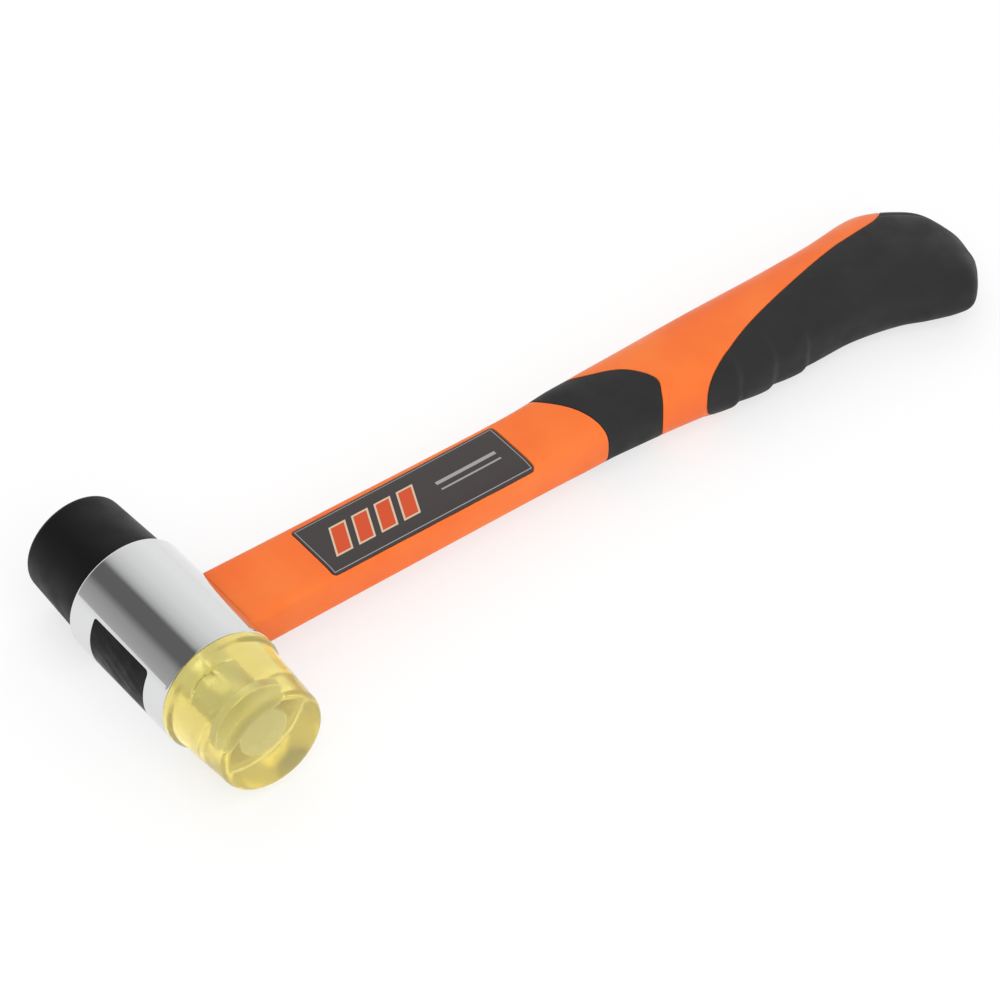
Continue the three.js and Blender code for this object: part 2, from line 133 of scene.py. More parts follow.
class Draft:
    """Points and faces of one closed surface, gathered ring by ring."""

    def __init__(self) -> None:
        """Starts with no points."""
        self.points: list[np.ndarray] = []
        self.faces: list[tuple[int, ...]] = []
        self.count = 0

    def ring(self, points: np.ndarray) -> np.ndarray:
        """Adds a ring of points.

        Args:
            points: the ring's points, in millimetres.

        Returns:
            The numbers of the new points.
        """
        self.points.append(np.asarray(points, float).reshape(-1, 3))
        start = self.count
        self.count += len(self.points[-1])
        return np.arange(start, self.count)

    def bridge(self, first: np.ndarray, second: np.ndarray) -> None:
        """Joins two closed rings of as many points with a band of quads."""
        pairs = zip(first, np.roll(first, -1), np.roll(second, -1), second)
        self.faces.extend(tuple(int(i) for i in quad) for quad in pairs)

    def tube(self, rings: Sequence[np.ndarray], loop: bool = False) -> list[np.ndarray]:
        """Adds rings in order and joins each to the next.

        Args:
            rings: the rings' points.
            loop: whether the last ring joins the first.

        Returns:
            The point numbers of each ring.
        """
        numbers = [self.ring(points) for points in rings]
        for first, second in zip(numbers, numbers[1:]):
            self.bridge(first, second)
        if loop:
            self.bridge(numbers[-1], numbers[0])
        return numbers

    def fan(self, ring: np.ndarray, centre: Sequence[float]) -> None:
        """Closes a ring with triangles to a centre point."""
        middle = int(self.ring(np.array([centre]))[0])
        self.faces.extend((int(a), int(b), middle) for a, b in zip(ring, np.roll(ring, -1)))

    def strip(self, ring: np.ndarray) -> None:
        """Closes a ring that is alike above and below with a strip of quads from one half to the other.

        Args:
            ring: numbers of the ring's points.
        """
        count = len(ring)
        for i in range(count // 2):
            quad = [ring[i], ring[i + 1], ring[count - i - 1], ring[-i % count]]
            self.faces.append(tuple(dict.fromkeys(int(n) for n in quad)))

    def mesh(self, name: str, crease: float, offset: float = 0.0) -> bpy.types.Mesh:
        """Makes the mesh, placed in the row frame, with its faces pointing out.

        Args:
            name: the mesh's name.
            crease: edges that bend by more than this many degrees stay sharp.
            offset: how far the mesh is moved along the head axis.

        Returns:
            The smooth-shaded mesh.
        """
        mesh = bpy.data.meshes.new(name)
        points = np.vstack(self.points) + np.array([0.0, offset, 0.0])
        mesh.from_pydata(LIE.place(points).tolist(), [], self.faces)
        tidy = bmesh.new()
        tidy.from_mesh(mesh)
        bmesh.ops.recalc_face_normals(tidy, faces=tidy.faces)
        tidy.to_mesh(mesh)
        tidy.free()
        smooth(mesh, crease)
        return mesh


def smooth(mesh: bpy.types.Mesh, crease: float) -> None:
    """Shades a mesh smooth, apart from edges that bend by more than the crease in degrees.

    Args:
        mesh: the mesh.
        crease: the angle in degrees.
    """
    mesh.polygons.foreach_set("use_smooth", [True] * len(mesh.polygons))
    mesh.set_sharp_from_angle(angle=math.radians(crease))
    mesh.update()


def new_object(mesh: bpy.types.Mesh, name: str) -> bpy.types.Object:
    """Links a new object that shows a mesh.

    Args:
        mesh: the mesh.
        name: the object's name.

    Returns:
        The object.
    """
    obj = bpy.data.objects.new(name, mesh)
    bpy.context.scene.collection.objects.link(obj)
    return obj


def along(points: np.ndarray, row: np.ndarray) -> np.ndarray:
    """A smooth curve through points, at rows counted from the first point.

    Args:
        points: the points that the curve goes through.
        row: where on the curve, in points; may be an array of any shape.

    Returns:
        The curve's points, with the rows' shape and one more axis.
    """
    padded = np.vstack([2 * points[0] - points[1], points, 2 * points[-1] - points[-2]])
    step = np.clip(np.floor(row).astype(int), 0, len(points) - 2)
    t = (np.asarray(row) - step)[..., None]
    before, start, end, after = (padded[step + k] for k in range(4))
    lead, trail = (end - before) / 2, (after - start) / 2
    square = 3 * (end - start) - 2 * lead - trail
    cube = 2 * (start - end) + lead + trail
    return ((cube * t + square) * t + lead) * t + start


def lerp(low: float, high: float, share: float) -> float:
    """A value that lies a share of the way from low to high."""
    return low + (high - low) * share


def smoothstep(value: np.ndarray) -> np.ndarray:
    """A smooth rise from 0 to 1 as the value goes from 0 to 1."""
    t = np.clip(value, 0.0, 1.0)
    return t * t * (3 - 2 * t)


def rounded_rectangle(width: float, height: float, corner: float, steps: int) -> np.ndarray:
    """Points round a rectangle with rounded corners, with points along its sides too.

    Args:
        width: size along the first axis.
        height: size along the second axis.
        corner: corner radius.
        steps: points on each corner; each side gets twice as many.

    Returns:
        An array of two-dimensional points, in order.
    """
    reach = np.array([width / 2 - corner, height / 2 - corner])
    signs = np.array([[1, 1], [-1, 1], [-1, -1], [1, -1]])
    corners = []
    for quarter, sign in enumerate(signs):
        turn = RIGHT_ANGLE * (quarter + np.linspace(0, 1, steps))
        corners.append(sign * reach + corner * np.column_stack([np.cos(turn), np.sin(turn)]))
    loop = []
    for arc, following in zip(corners, corners[1:] + corners[:1]):
        share = np.linspace(0, 1, 2 * steps + 2)[1:-1, None]
        loop.extend([arc, arc[-1] + (following[0] - arc[-1]) * share])
    return np.vstack(loop)


Corner = tuple[float, float, float]


def rounded_profile(corners: Sequence[Corner], steps: int = 8) -> np.ndarray:
    """A lathe profile whose corners are rounded.

    Args:
        corners: radius, height and rounding of each corner, in order.
        steps: faces on each rounded corner.

    Returns:
        The profile's points as radius and height.
    """
    spots = np.array([corner[:2] for corner in corners])
    points = [spots[0]]
    for i in range(1, len(corners) - 1):
        rounding = corners[i][2]
        if rounding <= 0:
            points.append(spots[i])
            continue
        back = spots[i - 1] - spots[i]
        ahead = spots[i + 1] - spots[i]
        back, ahead = back / np.linalg.norm(back), ahead / np.linalg.norm(ahead)
        half = math.acos(float(np.clip(back @ ahead, -1, 1))) / 2
        reach = rounding / math.tan(half)
        bisector = (back + ahead) / np.linalg.norm(back + ahead)
        centre = spots[i] + bisector * rounding / math.sin(half)
        for share in np.linspace(0, 1, steps + 1):
            chord = spots[i] + lerp(back * reach, ahead * reach, share)
            out = (chord - centre) / np.linalg.norm(chord - centre)
            points.append(centre + out * rounding)
    points.append(spots[-1])
    return np.array(points)


def turned(profile: np.ndarray, segments: int, end: End = End.FAR) -> Draft:
    """A solid turned about the head axis.

    Args:
        profile: radius and height points that start and end on the axis.
        segments: faces round the axis.
        end: which way the profile's heights run.

    Returns:
        The closed surface.
    """
    turn = np.arange(segments) / segments * FULL_TURN
    draft = Draft()
    rings = []
    for radius, height in profile[1:-1]:
        level = np.full(segments, height * end.value)
        rings.append(np.column_stack([radius * np.cos(turn), level, radius * np.sin(turn)]))
    numbers = draft.tube(rings)
    draft.fan(numbers[0], (0, profile[0][1] * end.value, 0))
    draft.fan(numbers[-1], (0, profile[-1][1] * end.value, 0))
    return draft


class Wiring:
    """Adds nodes to one node tree and joins their sockets."""

    def __init__(self, tree: bpy.types.NodeTree) -> None:
        """Takes the tree that the nodes go into."""
        self.tree = tree

    def add(self, kind: str, **settings: object) -> bpy.types.Node:
        """Adds a node.

        Args:
            kind: the node's type name, without its ShaderNode prefix.
            settings: attributes to set on the node.

        Returns:
            The new node.
        """
        prefix = "" if kind.startswith("Node") else "ShaderNode"
        node = self.tree.nodes.new(prefix + kind)
        for key, value in settings.items():
            setattr(node, key, value)
        return node

    def join(self, source: bpy.types.NodeSocket, target: bpy.types.NodeSocket) -> None:
        """Joins an output to an input."""
        self.tree.links.new(source, target)

    def feed(self, target: bpy.types.NodeSocket, value: object) -> None:
        """Gives an input a plain value, or joins it to an output.

        Args:
            target: the input.
            value: the value or output.
        """
        if isinstance(value, bpy.types.NodeSocket):
            self.join(value, target)
        else:
            target.default_value = value

    def math(self, operation: str, *values: object) -> bpy.types.NodeSocket:
        """A sum on plain values or outputs.

        Args:
            operation: the Math node's operation.
            values: its inputs, in order.

        Returns:
            The node's output.
        """
        node = self.add("Math", operation=operation)
        for target, value in zip(node.inputs, values):
            self.feed(target, value)
        return node.outputs[0]

    def remap(
        self, value: object, low: float, high: float, to_low: float, to_high: float
    ) -> bpy.types.NodeSocket:
        """Maps one range of a value smoothly onto another range.

        Args:
            value: the value.
            low: start of its range.
            high: end of its range.
            to_low: start of the new range.
            to_high: end of the new range.

        Returns:
            The mapped value.
        """
        node = self.add("MapRange", interpolation_type="SMOOTHSTEP")
        names = ("Value", "From Min", "From Max", "To Min", "To Max")
        for name, given in zip(names, (value, low, high, to_low, to_high)):
            self.feed(node.inputs[name], given)
        return node.outputs["Result"]

    def mix(self, share: object, first: object, second: object) -> bpy.types.NodeSocket:
        """Mixes two colours by a share.

        Args:
            share: the second colour's share.
            first: the first colour.
            second: the second colour.

        Returns:
            The mixed colour.
        """
        node = self.add("Mix", data_type="RGBA")
        for number, given in zip(MIX_INPUTS, (share, first, second)):
            self.feed(node.inputs[number], given)
        return node.outputs[MIX_OUTPUT]

    def bump(self, height: bpy.types.NodeSocket, depth: float) -> bpy.types.NodeSocket:
        """A bump normal from a height of 0 to 1 and a depth in metres.

        Args:
            height: the height.
            depth: the depth.

        Returns:
            The normal.
        """
        node = self.add("Bump")
        node.inputs["Distance"].default_value = depth
        self.join(height, node.inputs["Height"])
        return node.outputs["Normal"]


class Effect(Enum):
    """Surface effects that several finishes share, each a node group."""

    GRAIN = "fine_grain"
    SMUDGE = "soft_smudges"
    EDGE = "edge_wear_and_glint"


Sockets = dict[str, bpy.types.NodeSocket]


def group_shell(
    effect: Effect, inputs: dict[str, float], outputs: Sequence[str]
) -> tuple[Wiring, Sockets, Sockets]:
    """Starts a node group with float sockets.

    Args:
        effect: the effect that the group holds.
        inputs: input names with their defaults.
        outputs: output names.

    Returns:
        The group's wiring, its input sockets by name and its output sockets by name.
    """
    tree = bpy.data.node_groups.new(effect.value, "ShaderNodeTree")
    for name, value in inputs.items():
        socket = tree.interface.new_socket(name=name, in_out="INPUT", socket_type="NodeSocketFloat")
        socket.default_value = value
    for name in outputs:
        tree.interface.new_socket(name=name, in_out="OUTPUT", socket_type="NodeSocketFloat")
    wiring = Wiring(tree)
    entry = wiring.add("NodeGroupInput")
    leave = wiring.add("NodeGroupOutput")
    return wiring, {s.name: s for s in entry.outputs}, {s.name: s for s in leave.inputs}


def grain_group() -> bpy.types.NodeTree:
    """Grain: a fine noise that can be drawn out along the head axis or across it.

    Returns:
        The group.
    """
    wiring, given, out = group_shell(
        Effect.GRAIN, {"Scale": 1000.0, "Detail": 3.0, "Along": 1.0, "Across": 1.0}, ("Height",)
    )
    spot = wiring.add("TexCoord").outputs["Object"]
    stretch = wiring.add("CombineXYZ")
    wiring.join(given["Across"], stretch.inputs["X"])
    wiring.join(given["Along"], stretch.inputs["Y"])
    wiring.join(given["Across"], stretch.inputs["Z"])
    drawn = wiring.add("VectorMath", operation="MULTIPLY")
    wiring.join(spot, drawn.inputs[0])
    wiring.join(stretch.outputs[0], drawn.inputs[1])
    noise = wiring.add("TexNoise")
    wiring.join(drawn.outputs[0], noise.inputs["Vector"])
    wiring.join(given["Scale"], noise.inputs["Scale"])
    wiring.join(given["Detail"], noise.inputs["Detail"])
    wiring.join(noise.outputs[0], out["Height"])
    return wiring.tree


def smudge_group() -> bpy.types.NodeTree:
    """Smudges: soft patches, as a value that drifts between a low and a high.

    Returns:
        The group.
    """
    wiring, given, out = group_shell(Effect.SMUDGE, {"Scale": 60.0, "Low": 0.3, "High": 0.4}, ("Value",))
    noise = wiring.add("TexNoise")
    noise.inputs["Detail"].default_value = 4.0
    wiring.join(wiring.add("TexCoord").outputs["Object"], noise.inputs["Vector"])
    wiring.join(given["Scale"], noise.inputs["Scale"])
    wiring.join(wiring.remap(noise.outputs[0], 0.32, 0.68, given["Low"], given["High"]), out["Value"])
    return wiring.tree


def edge_group() -> bpy.types.NodeTree:
    """A mask on sharp edges, broken up by a noise: wear on the plastics, a painted highlight on the metals.

    Returns:
        The group.
    """
    wiring, given, out = group_shell(Effect.EDGE, {"Amount": 0.5, "Scale": 400.0}, ("Mask",))
    # Sharp convex edges: the plastics show wear here, the metals a painted highlight
    edge = wiring.remap(wiring.add("NewGeometry").outputs["Pointiness"], 0.56, 0.68, 0.0, 1.0)
    noise = wiring.add("TexNoise")
    noise.inputs["Detail"].default_value = 3.0
    wiring.join(wiring.add("TexCoord").outputs["Object"], noise.inputs["Vector"])
    wiring.join(given["Scale"], noise.inputs["Scale"])
    patches = wiring.remap(noise.outputs[0], 0.35, 0.6, 0.2, 1.0)
    worn_and_lit = wiring.math("MULTIPLY", edge, patches)
    wiring.join(wiring.math("MULTIPLY", worn_and_lit, given["Amount"]), out["Mask"])
    return wiring.tree


GROUP_MAKERS = {Effect.GRAIN: grain_group, Effect.SMUDGE: smudge_group, Effect.EDGE: edge_group}
Colour = tuple[float, float, float, float]


class Paint(Wiring):
    """A material in the making: its wiring and its main shader."""

    def __init__(self, name: str) -> None:
        """Starts a material with a Principled shader alone.

        Args:
            name: the material's name.
        """
        self.material = bpy.data.materials.new(name)
        self.material.use_nodes = True
        super().__init__(self.material.node_tree)
        self.shader = self.tree.nodes["Principled BSDF"]

    def set(self, **values: object) -> None:
        """Sets the shader's sockets; underscores in the names stand for spaces."""
        for name, value in values.items():
            self.feed(self.shader.inputs[name.replace("_", " ")], value)

    def effect(self, effect: Effect, **values: float) -> bpy.types.NodeSocket:
        """Places a shared effect with its own values.

        Args:
            effect: which effect.
            values: the group's inputs.

        Returns:
            The effect's output.
        """
        tree = bpy.data.node_groups.get(effect.value) or GROUP_MAKERS[effect]()
        node = self.add("Group", node_tree=tree)
        for name, value in values.items():
            node.inputs[name].default_value = value
        return node.outputs[0]


@dataclass(frozen=True)
class Finish:
    """A finish whose material is made once.

    Attributes:
        name: the material's name.
        slot: the record's material slot; not used.
        colour: main colour, linear.
    """

    name: str
    slot: str
    colour: Colour

    def material(self) -> bpy.types.Material:
        """The finish's material, made on first use.

        Returns:
            The material.
        """
        found = bpy.data.materials.get(self.name)
        if found:
            return found
        paint = Paint(self.name)
        self.coat(paint)
        return paint.material

    def coat(self, paint: Paint) -> None:
        """Wires the material; each kind of finish has its own."""
        paint.set(Base_Color=self.colour)


@dataclass(frozen=True)
class PolishedMetal(Finish):
    """Polished or plated metal with fine turning lines.

    Attributes:
        rough_low: roughness where the polish is best.
        rough_high: roughness on smudges.
        line_depth: depth of the turning lines, in metres.
        edge_glint: lighter colour on sharp edges, a painted highlight.
    """

    rough_low: float = 0.05
    rough_high: float = 0.12
    line_depth: float = 1.5e-6
    edge_glint: Colour = (0.95, 0.95, 0.95, 1.0)

    def coat(self, paint: Paint) -> None:
        """Metal with turning lines round the head axis, smudges and a painted highlight on its sharp edges.

        Args:
            paint: the material in the making.
        """
        lines = paint.effect(Effect.GRAIN, Scale=900.0, Detail=4.0, Along=6.0, Across=0.25)
        worn_and_lit = paint.effect(Effect.EDGE, Amount=0.6, Scale=500.0)
        smudge = paint.effect(Effect.SMUDGE, Scale=70.0, Low=self.rough_low, High=self.rough_high)
        # Sharp edges take a lighter colour: a painted highlight
        paint.set(Base_Color=paint.mix(worn_and_lit, self.colour, self.edge_glint), Metallic=1.0)
        paint.set(Roughness=smudge, Normal=paint.bump(lines, self.line_depth))


@dataclass(frozen=True)
class MouldedPlastic(Finish):
    """Moulded plastic or rubber with a fine skin texture.

    Attributes:
        shade: second colour that the first drifts to.
        edge: colour that shows on worn edges.
        edge_amount: how much of it shows.
        rough_low: lowest roughness.
        rough_high: highest roughness.
        texture_scale: skin texture, in cells to the metre.
        texture_depth: its depth, in metres.
        specular: specular level.
    """

    shade: Colour = (0.0, 0.0, 0.0, 1.0)
    edge: Colour = (0.2, 0.2, 0.2, 1.0)
    edge_amount: float = 0.3
    rough_low: float = 0.4
    rough_high: float = 0.5
    texture_scale: float = 1500.0
    texture_depth: float = 2.0e-5
    specular: float = 0.5

    def coat(self, paint: Paint) -> None:
        """Colour that drifts a little, worn edges, uneven gloss and a fine skin.

        Args:
            paint: the material in the making.
        """
        drift = paint.effect(Effect.SMUDGE, Scale=35.0, Low=0.0, High=1.0)
        worn_and_lit = paint.effect(Effect.EDGE, Amount=self.edge_amount, Scale=600.0)
        gloss = paint.effect(Effect.SMUDGE, Scale=120.0, Low=self.rough_low, High=self.rough_high)
        skin = paint.effect(Effect.GRAIN, Scale=self.texture_scale, Detail=2.0)
        body = paint.mix(drift, self.colour, self.shade)
        paint.set(Base_Color=paint.mix(worn_and_lit, body, self.edge), Roughness=gloss)
        paint.set(Normal=paint.bump(skin, self.texture_depth), Specular_IOR_Level=self.specular)


@dataclass(frozen=True)
class ClearPlastic(Finish):
    """Cloudy tinted plastic, a little scuffed.

    Attributes:
        tint: colour that light takes on along its way through the plastic.
        tint_density: how fast it takes that colour on, to the metre.
        clearness: share of the light that goes through.
        index: refractive index.
        rough_low: roughness where it is polished.
        rough_high: roughness where it is scuffed.
        wave_depth: depth of the surface's waviness, in metres.
        specular: specular level.
    """

    tint: Colour = (1.0, 0.86, 0.30, 1.0)
    tint_density: float = 19.0
    clearness: float = 0.82
    index: float = 1.47
    rough_low: float = 0.08
    rough_high: float = 0.18
    wave_depth: float = 6.0e-5
    specular: float = 0.35

    def coat(self, paint: Paint) -> None:
        """Tinted plastic that light partly goes through, with scuffs and a faint waviness.

        Args:
            paint: the material in the making.
        """
        scuffs = paint.effect(Effect.SMUDGE, Scale=180.0, Low=self.rough_low, High=self.rough_high)
        wave = paint.effect(Effect.GRAIN, Scale=220.0, Detail=1.0)
        paint.set(Base_Color=self.colour, Roughness=scuffs, Normal=paint.bump(wave, self.wave_depth))
        paint.set(Transmission_Weight=self.clearness, IOR=self.index, Specular_IOR_Level=self.specular)
        haze = paint.add("VolumeAbsorption")
        haze.inputs["Color"].default_value = self.tint
        haze.inputs["Density"].default_value = self.tint_density
        paint.join(haze.outputs[0], paint.tree.nodes["Material Output"].inputs["Volume"])


@dataclass(frozen=True)
class PrintedFilm(Finish):
    """Dark label film with a plain printed design of slanted bars and lines.

    Attributes:
        fleck: second colour of the film's fine grain.
        grain_depth: depth of that grain, in metres.
        ink: colour of the bars.
        outline: colour of the line round each bar.
        silver: colour of the thin lines.
        middle: the plate's middle in the row frame, in metres.
        length: the plate's length, in metres.
        width: the plate's width, in metres.
        slant: how far the bars lean along the plate for each unit across it.
        pitch: distance between bars.
        bar: width of a bar.
        bar_half: half the bars' height.
        bars_start: where the bars start, from the plate's middle.
        bars_stop: where they stop.
        stroke: width of the line round each bar.
        border_inset: how far the border line lies in from the plate's edge.
        border_stroke: width of the border line.
        lines_reach: where the two short lines start and stop.
        upper_line: edges of the upper short line across the plate.
        lower_line: edges of the lower one.
    """

    fleck: Colour = (0.064, 0.058, 0.056, 1.0)
    grain_depth: float = 4.0e-6
    ink: Colour = (0.62, 0.075, 0.018, 1.0)
    outline: Colour = (0.66, 0.50, 0.36, 1.0)
    silver: Colour = (0.34, 0.34, 0.35, 1.0)
    middle: tuple[float, float] = (0.0, 0.0)
    length: float = 0.07
    width: float = 0.02
    slant: float = 0.45
    pitch: float = 0.0076
    bar: float = 0.0044
    bar_half: float = 0.0046
    bars_start: float = -0.0285
    bars_stop: float = 0.0019
    stroke: float = 0.0006
    border_inset: float = 0.0007
    border_stroke: float = 0.00022
    lines_reach: tuple[float, float] = (0.0085, 0.029)
    upper_line: tuple[float, float] = (0.0006, 0.0018)
    lower_line: tuple[float, float] = (-0.0018, -0.0012)

    def coat(self, paint: Paint) -> None:
        """Film with a border line, a row of outlined slanted bars and two thin lines.

        Args:
            paint: the material in the making.
        """
        split = paint.add("SeparateXYZ")
        paint.join(paint.add("TexCoord").outputs["Object"], split.inputs[0])
        x = paint.math("SUBTRACT", split.outputs["X"], self.middle[0])
        y = paint.math("SUBTRACT", split.outputs["Y"], self.middle[1])
        grain = paint.effect(Effect.GRAIN, Scale=2500.0, Detail=2.0)
        gloss = paint.effect(Effect.SMUDGE, Scale=90.0, Low=0.3, High=0.42)
        base = paint.mix(paint.remap(grain, 0.3, 0.7, 0.0, 0.25), self.colour, self.fleck)
        lined = paint.mix(self.lines(paint, x, y), base, self.silver)
        outlined = paint.mix(self.bars(paint, x, y, self.stroke), lined, self.outline)
        barred = paint.mix(self.bars(paint, x, y, 0.0), outlined, self.ink)
        paint.set(Base_Color=barred, Roughness=gloss, Specular_IOR_Level=0.25)
        paint.set(Normal=paint.bump(grain, self.grain_depth))

    def within(self, paint: Paint, value: object, low: float, high: float) -> bpy.types.NodeSocket:
        """A mask that is 1 where a value lies between low and high, with a soft edge.

        Args:
            paint: the material in the making.
            value: the value.
            low: the lower bound.
            high: the upper bound.

        Returns:
            The mask.
        """
        soft = 0.00006
        rise = paint.remap(value, low - soft, low + soft, 0.0, 1.0)
        fall = paint.remap(value, high - soft, high + soft, 1.0, 0.0)
        return paint.math("MULTIPLY", rise, fall)

    def lines(self, paint: Paint, x: object, y: object) -> bpy.types.NodeSocket:
        """A thin line set in from the plate's edge, and two short lines beside the bars.

        Args:
            paint: the material in the making.
            x: place along the plate.
            y: place across it.

        Returns:
            The mask.
        """
        far_x = paint.math("SUBTRACT", paint.math("ABSOLUTE", x), self.length / 2 - self.border_inset)
        far_y = paint.math("SUBTRACT", paint.math("ABSOLUTE", y), self.width / 2 - self.border_inset)
        border = self.within(paint, paint.math("MAXIMUM", far_x, far_y), -self.border_stroke, 0.0)
        reach = self.within(paint, x, *self.lines_reach)
        upper = paint.math("MULTIPLY", reach, self.within(paint, y, *self.upper_line))
        lower = paint.math("MULTIPLY", reach, self.within(paint, y, *self.lower_line))
        return paint.math("MAXIMUM", border, paint.math("MAXIMUM", upper, lower))

    def bars(self, paint: Paint, x: object, y: object, grow: float) -> bpy.types.NodeSocket:
        """A row of slanted bars towards the head end of the plate, grown on every side.

        Args:
            paint: the material in the making.
            x: place along the plate.
            y: place across it.
            grow: how far the bars are grown.

        Returns:
            The mask.
        """
        leaning = paint.math("SUBTRACT", x, paint.math("MULTIPLY", y, self.slant))
        passed = paint.math("SUBTRACT", leaning, self.bars_start - self.pitch)
        phase = paint.math("MODULO", passed, self.pitch)
        gap = (self.pitch - self.bar) / 2 - grow
        stripe = self.within(paint, phase, gap, self.pitch - gap)
        level = self.within(paint, y, -self.bar_half - grow, self.bar_half + grow)
        reach = self.within(paint, leaning, self.bars_start, self.bars_stop)
        return paint.math("MULTIPLY", paint.math("MULTIPLY", stripe, level), reach)


# The chrome's lighter colour on sharp edges is a painted highlight
CHROME = PolishedMetal("chrome_plate", "chrome", (0.72, 0.723, 0.727, 1.0), edge_glint=(0.8, 0.8, 0.8, 1.0))
STEEL = PolishedMetal(
    "zinc_plated_steel", "stud_steel", (0.62, 0.63, 0.62, 1.0), rough_low=0.25, rough_high=0.4,
    line_depth=4e-6,
)
ORANGE = MouldedPlastic(
    "orange_moulding", "orange_plastic", (0.90, 0.197, 0.036, 1.0), shade=(0.87, 0.152, 0.024, 1.0),
    edge=(0.95, 0.34, 0.15, 1.0), edge_amount=0.5, rough_low=0.34, rough_high=0.44, texture_scale=900.0,
    texture_depth=1.2e-5, specular=0.22,
)
SOFT_BLACK = MouldedPlastic(
    "soft_black_overmould", "soft_grip", (0.022, 0.022, 0.023, 1.0), shade=(0.018, 0.018, 0.019, 1.0),
    edge=(0.06, 0.06, 0.06, 1.0), edge_amount=0.4, rough_low=0.52, rough_high=0.66, texture_scale=2600.0,
    texture_depth=6.0e-5, specular=0.22,
)
TIP_RUBBER = MouldedPlastic(
    "black_tip_rubber", "tip_rubber", (0.0065, 0.0065, 0.007, 1.0), shade=(0.005, 0.005, 0.0055, 1.0),
    edge=(0.03, 0.03, 0.03, 1.0), edge_amount=0.4, rough_low=0.42, rough_high=0.56, texture_scale=1800.0,
    texture_depth=2.5e-5, specular=0.17,
)
RESIN = MouldedPlastic(
    "black_bonding_resin", "resin", (0.010, 0.010, 0.011, 1.0), shade=(0.006, 0.006, 0.007, 1.0),
    edge_amount=0.0, rough_low=0.4, rough_high=0.6, texture_scale=1100.0, texture_depth=1.0e-4, specular=0.14,
)
FIBREGLASS = MouldedPlastic(
    "glass_fibre_rod", "fibreglass", (0.70, 0.60, 0.32, 1.0), shade=(0.62, 0.52, 0.26, 1.0),
    edge=(0.8, 0.74, 0.5, 1.0), texture_scale=1600.0, texture_depth=3.0e-5,
)
CLEAR = ClearPlastic("clear_yellow_plastic", "clear_plastic", (0.99, 0.92, 0.385, 1.0))


def add_piece(obj: bpy.types.Object, finish: Finish, body: Body, *nodes: str) -> bpy.types.Object:
    """Dresses a finished piece and sets it on its body.

    Args:
        obj: the piece, in place.
        finish: its finish.
        body: the body that it rides on.
        nodes: the frame's nodes that it stands for.

    Returns:
        The piece.
    """
    obj.data.materials.clear()
    obj.data.materials.append(finish.material())
    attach(obj, body.value)
    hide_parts(*nodes)
    LOG.info("%s: %d faces, on %s", obj.name, len(obj.data.polygons), body.value)
    return obj


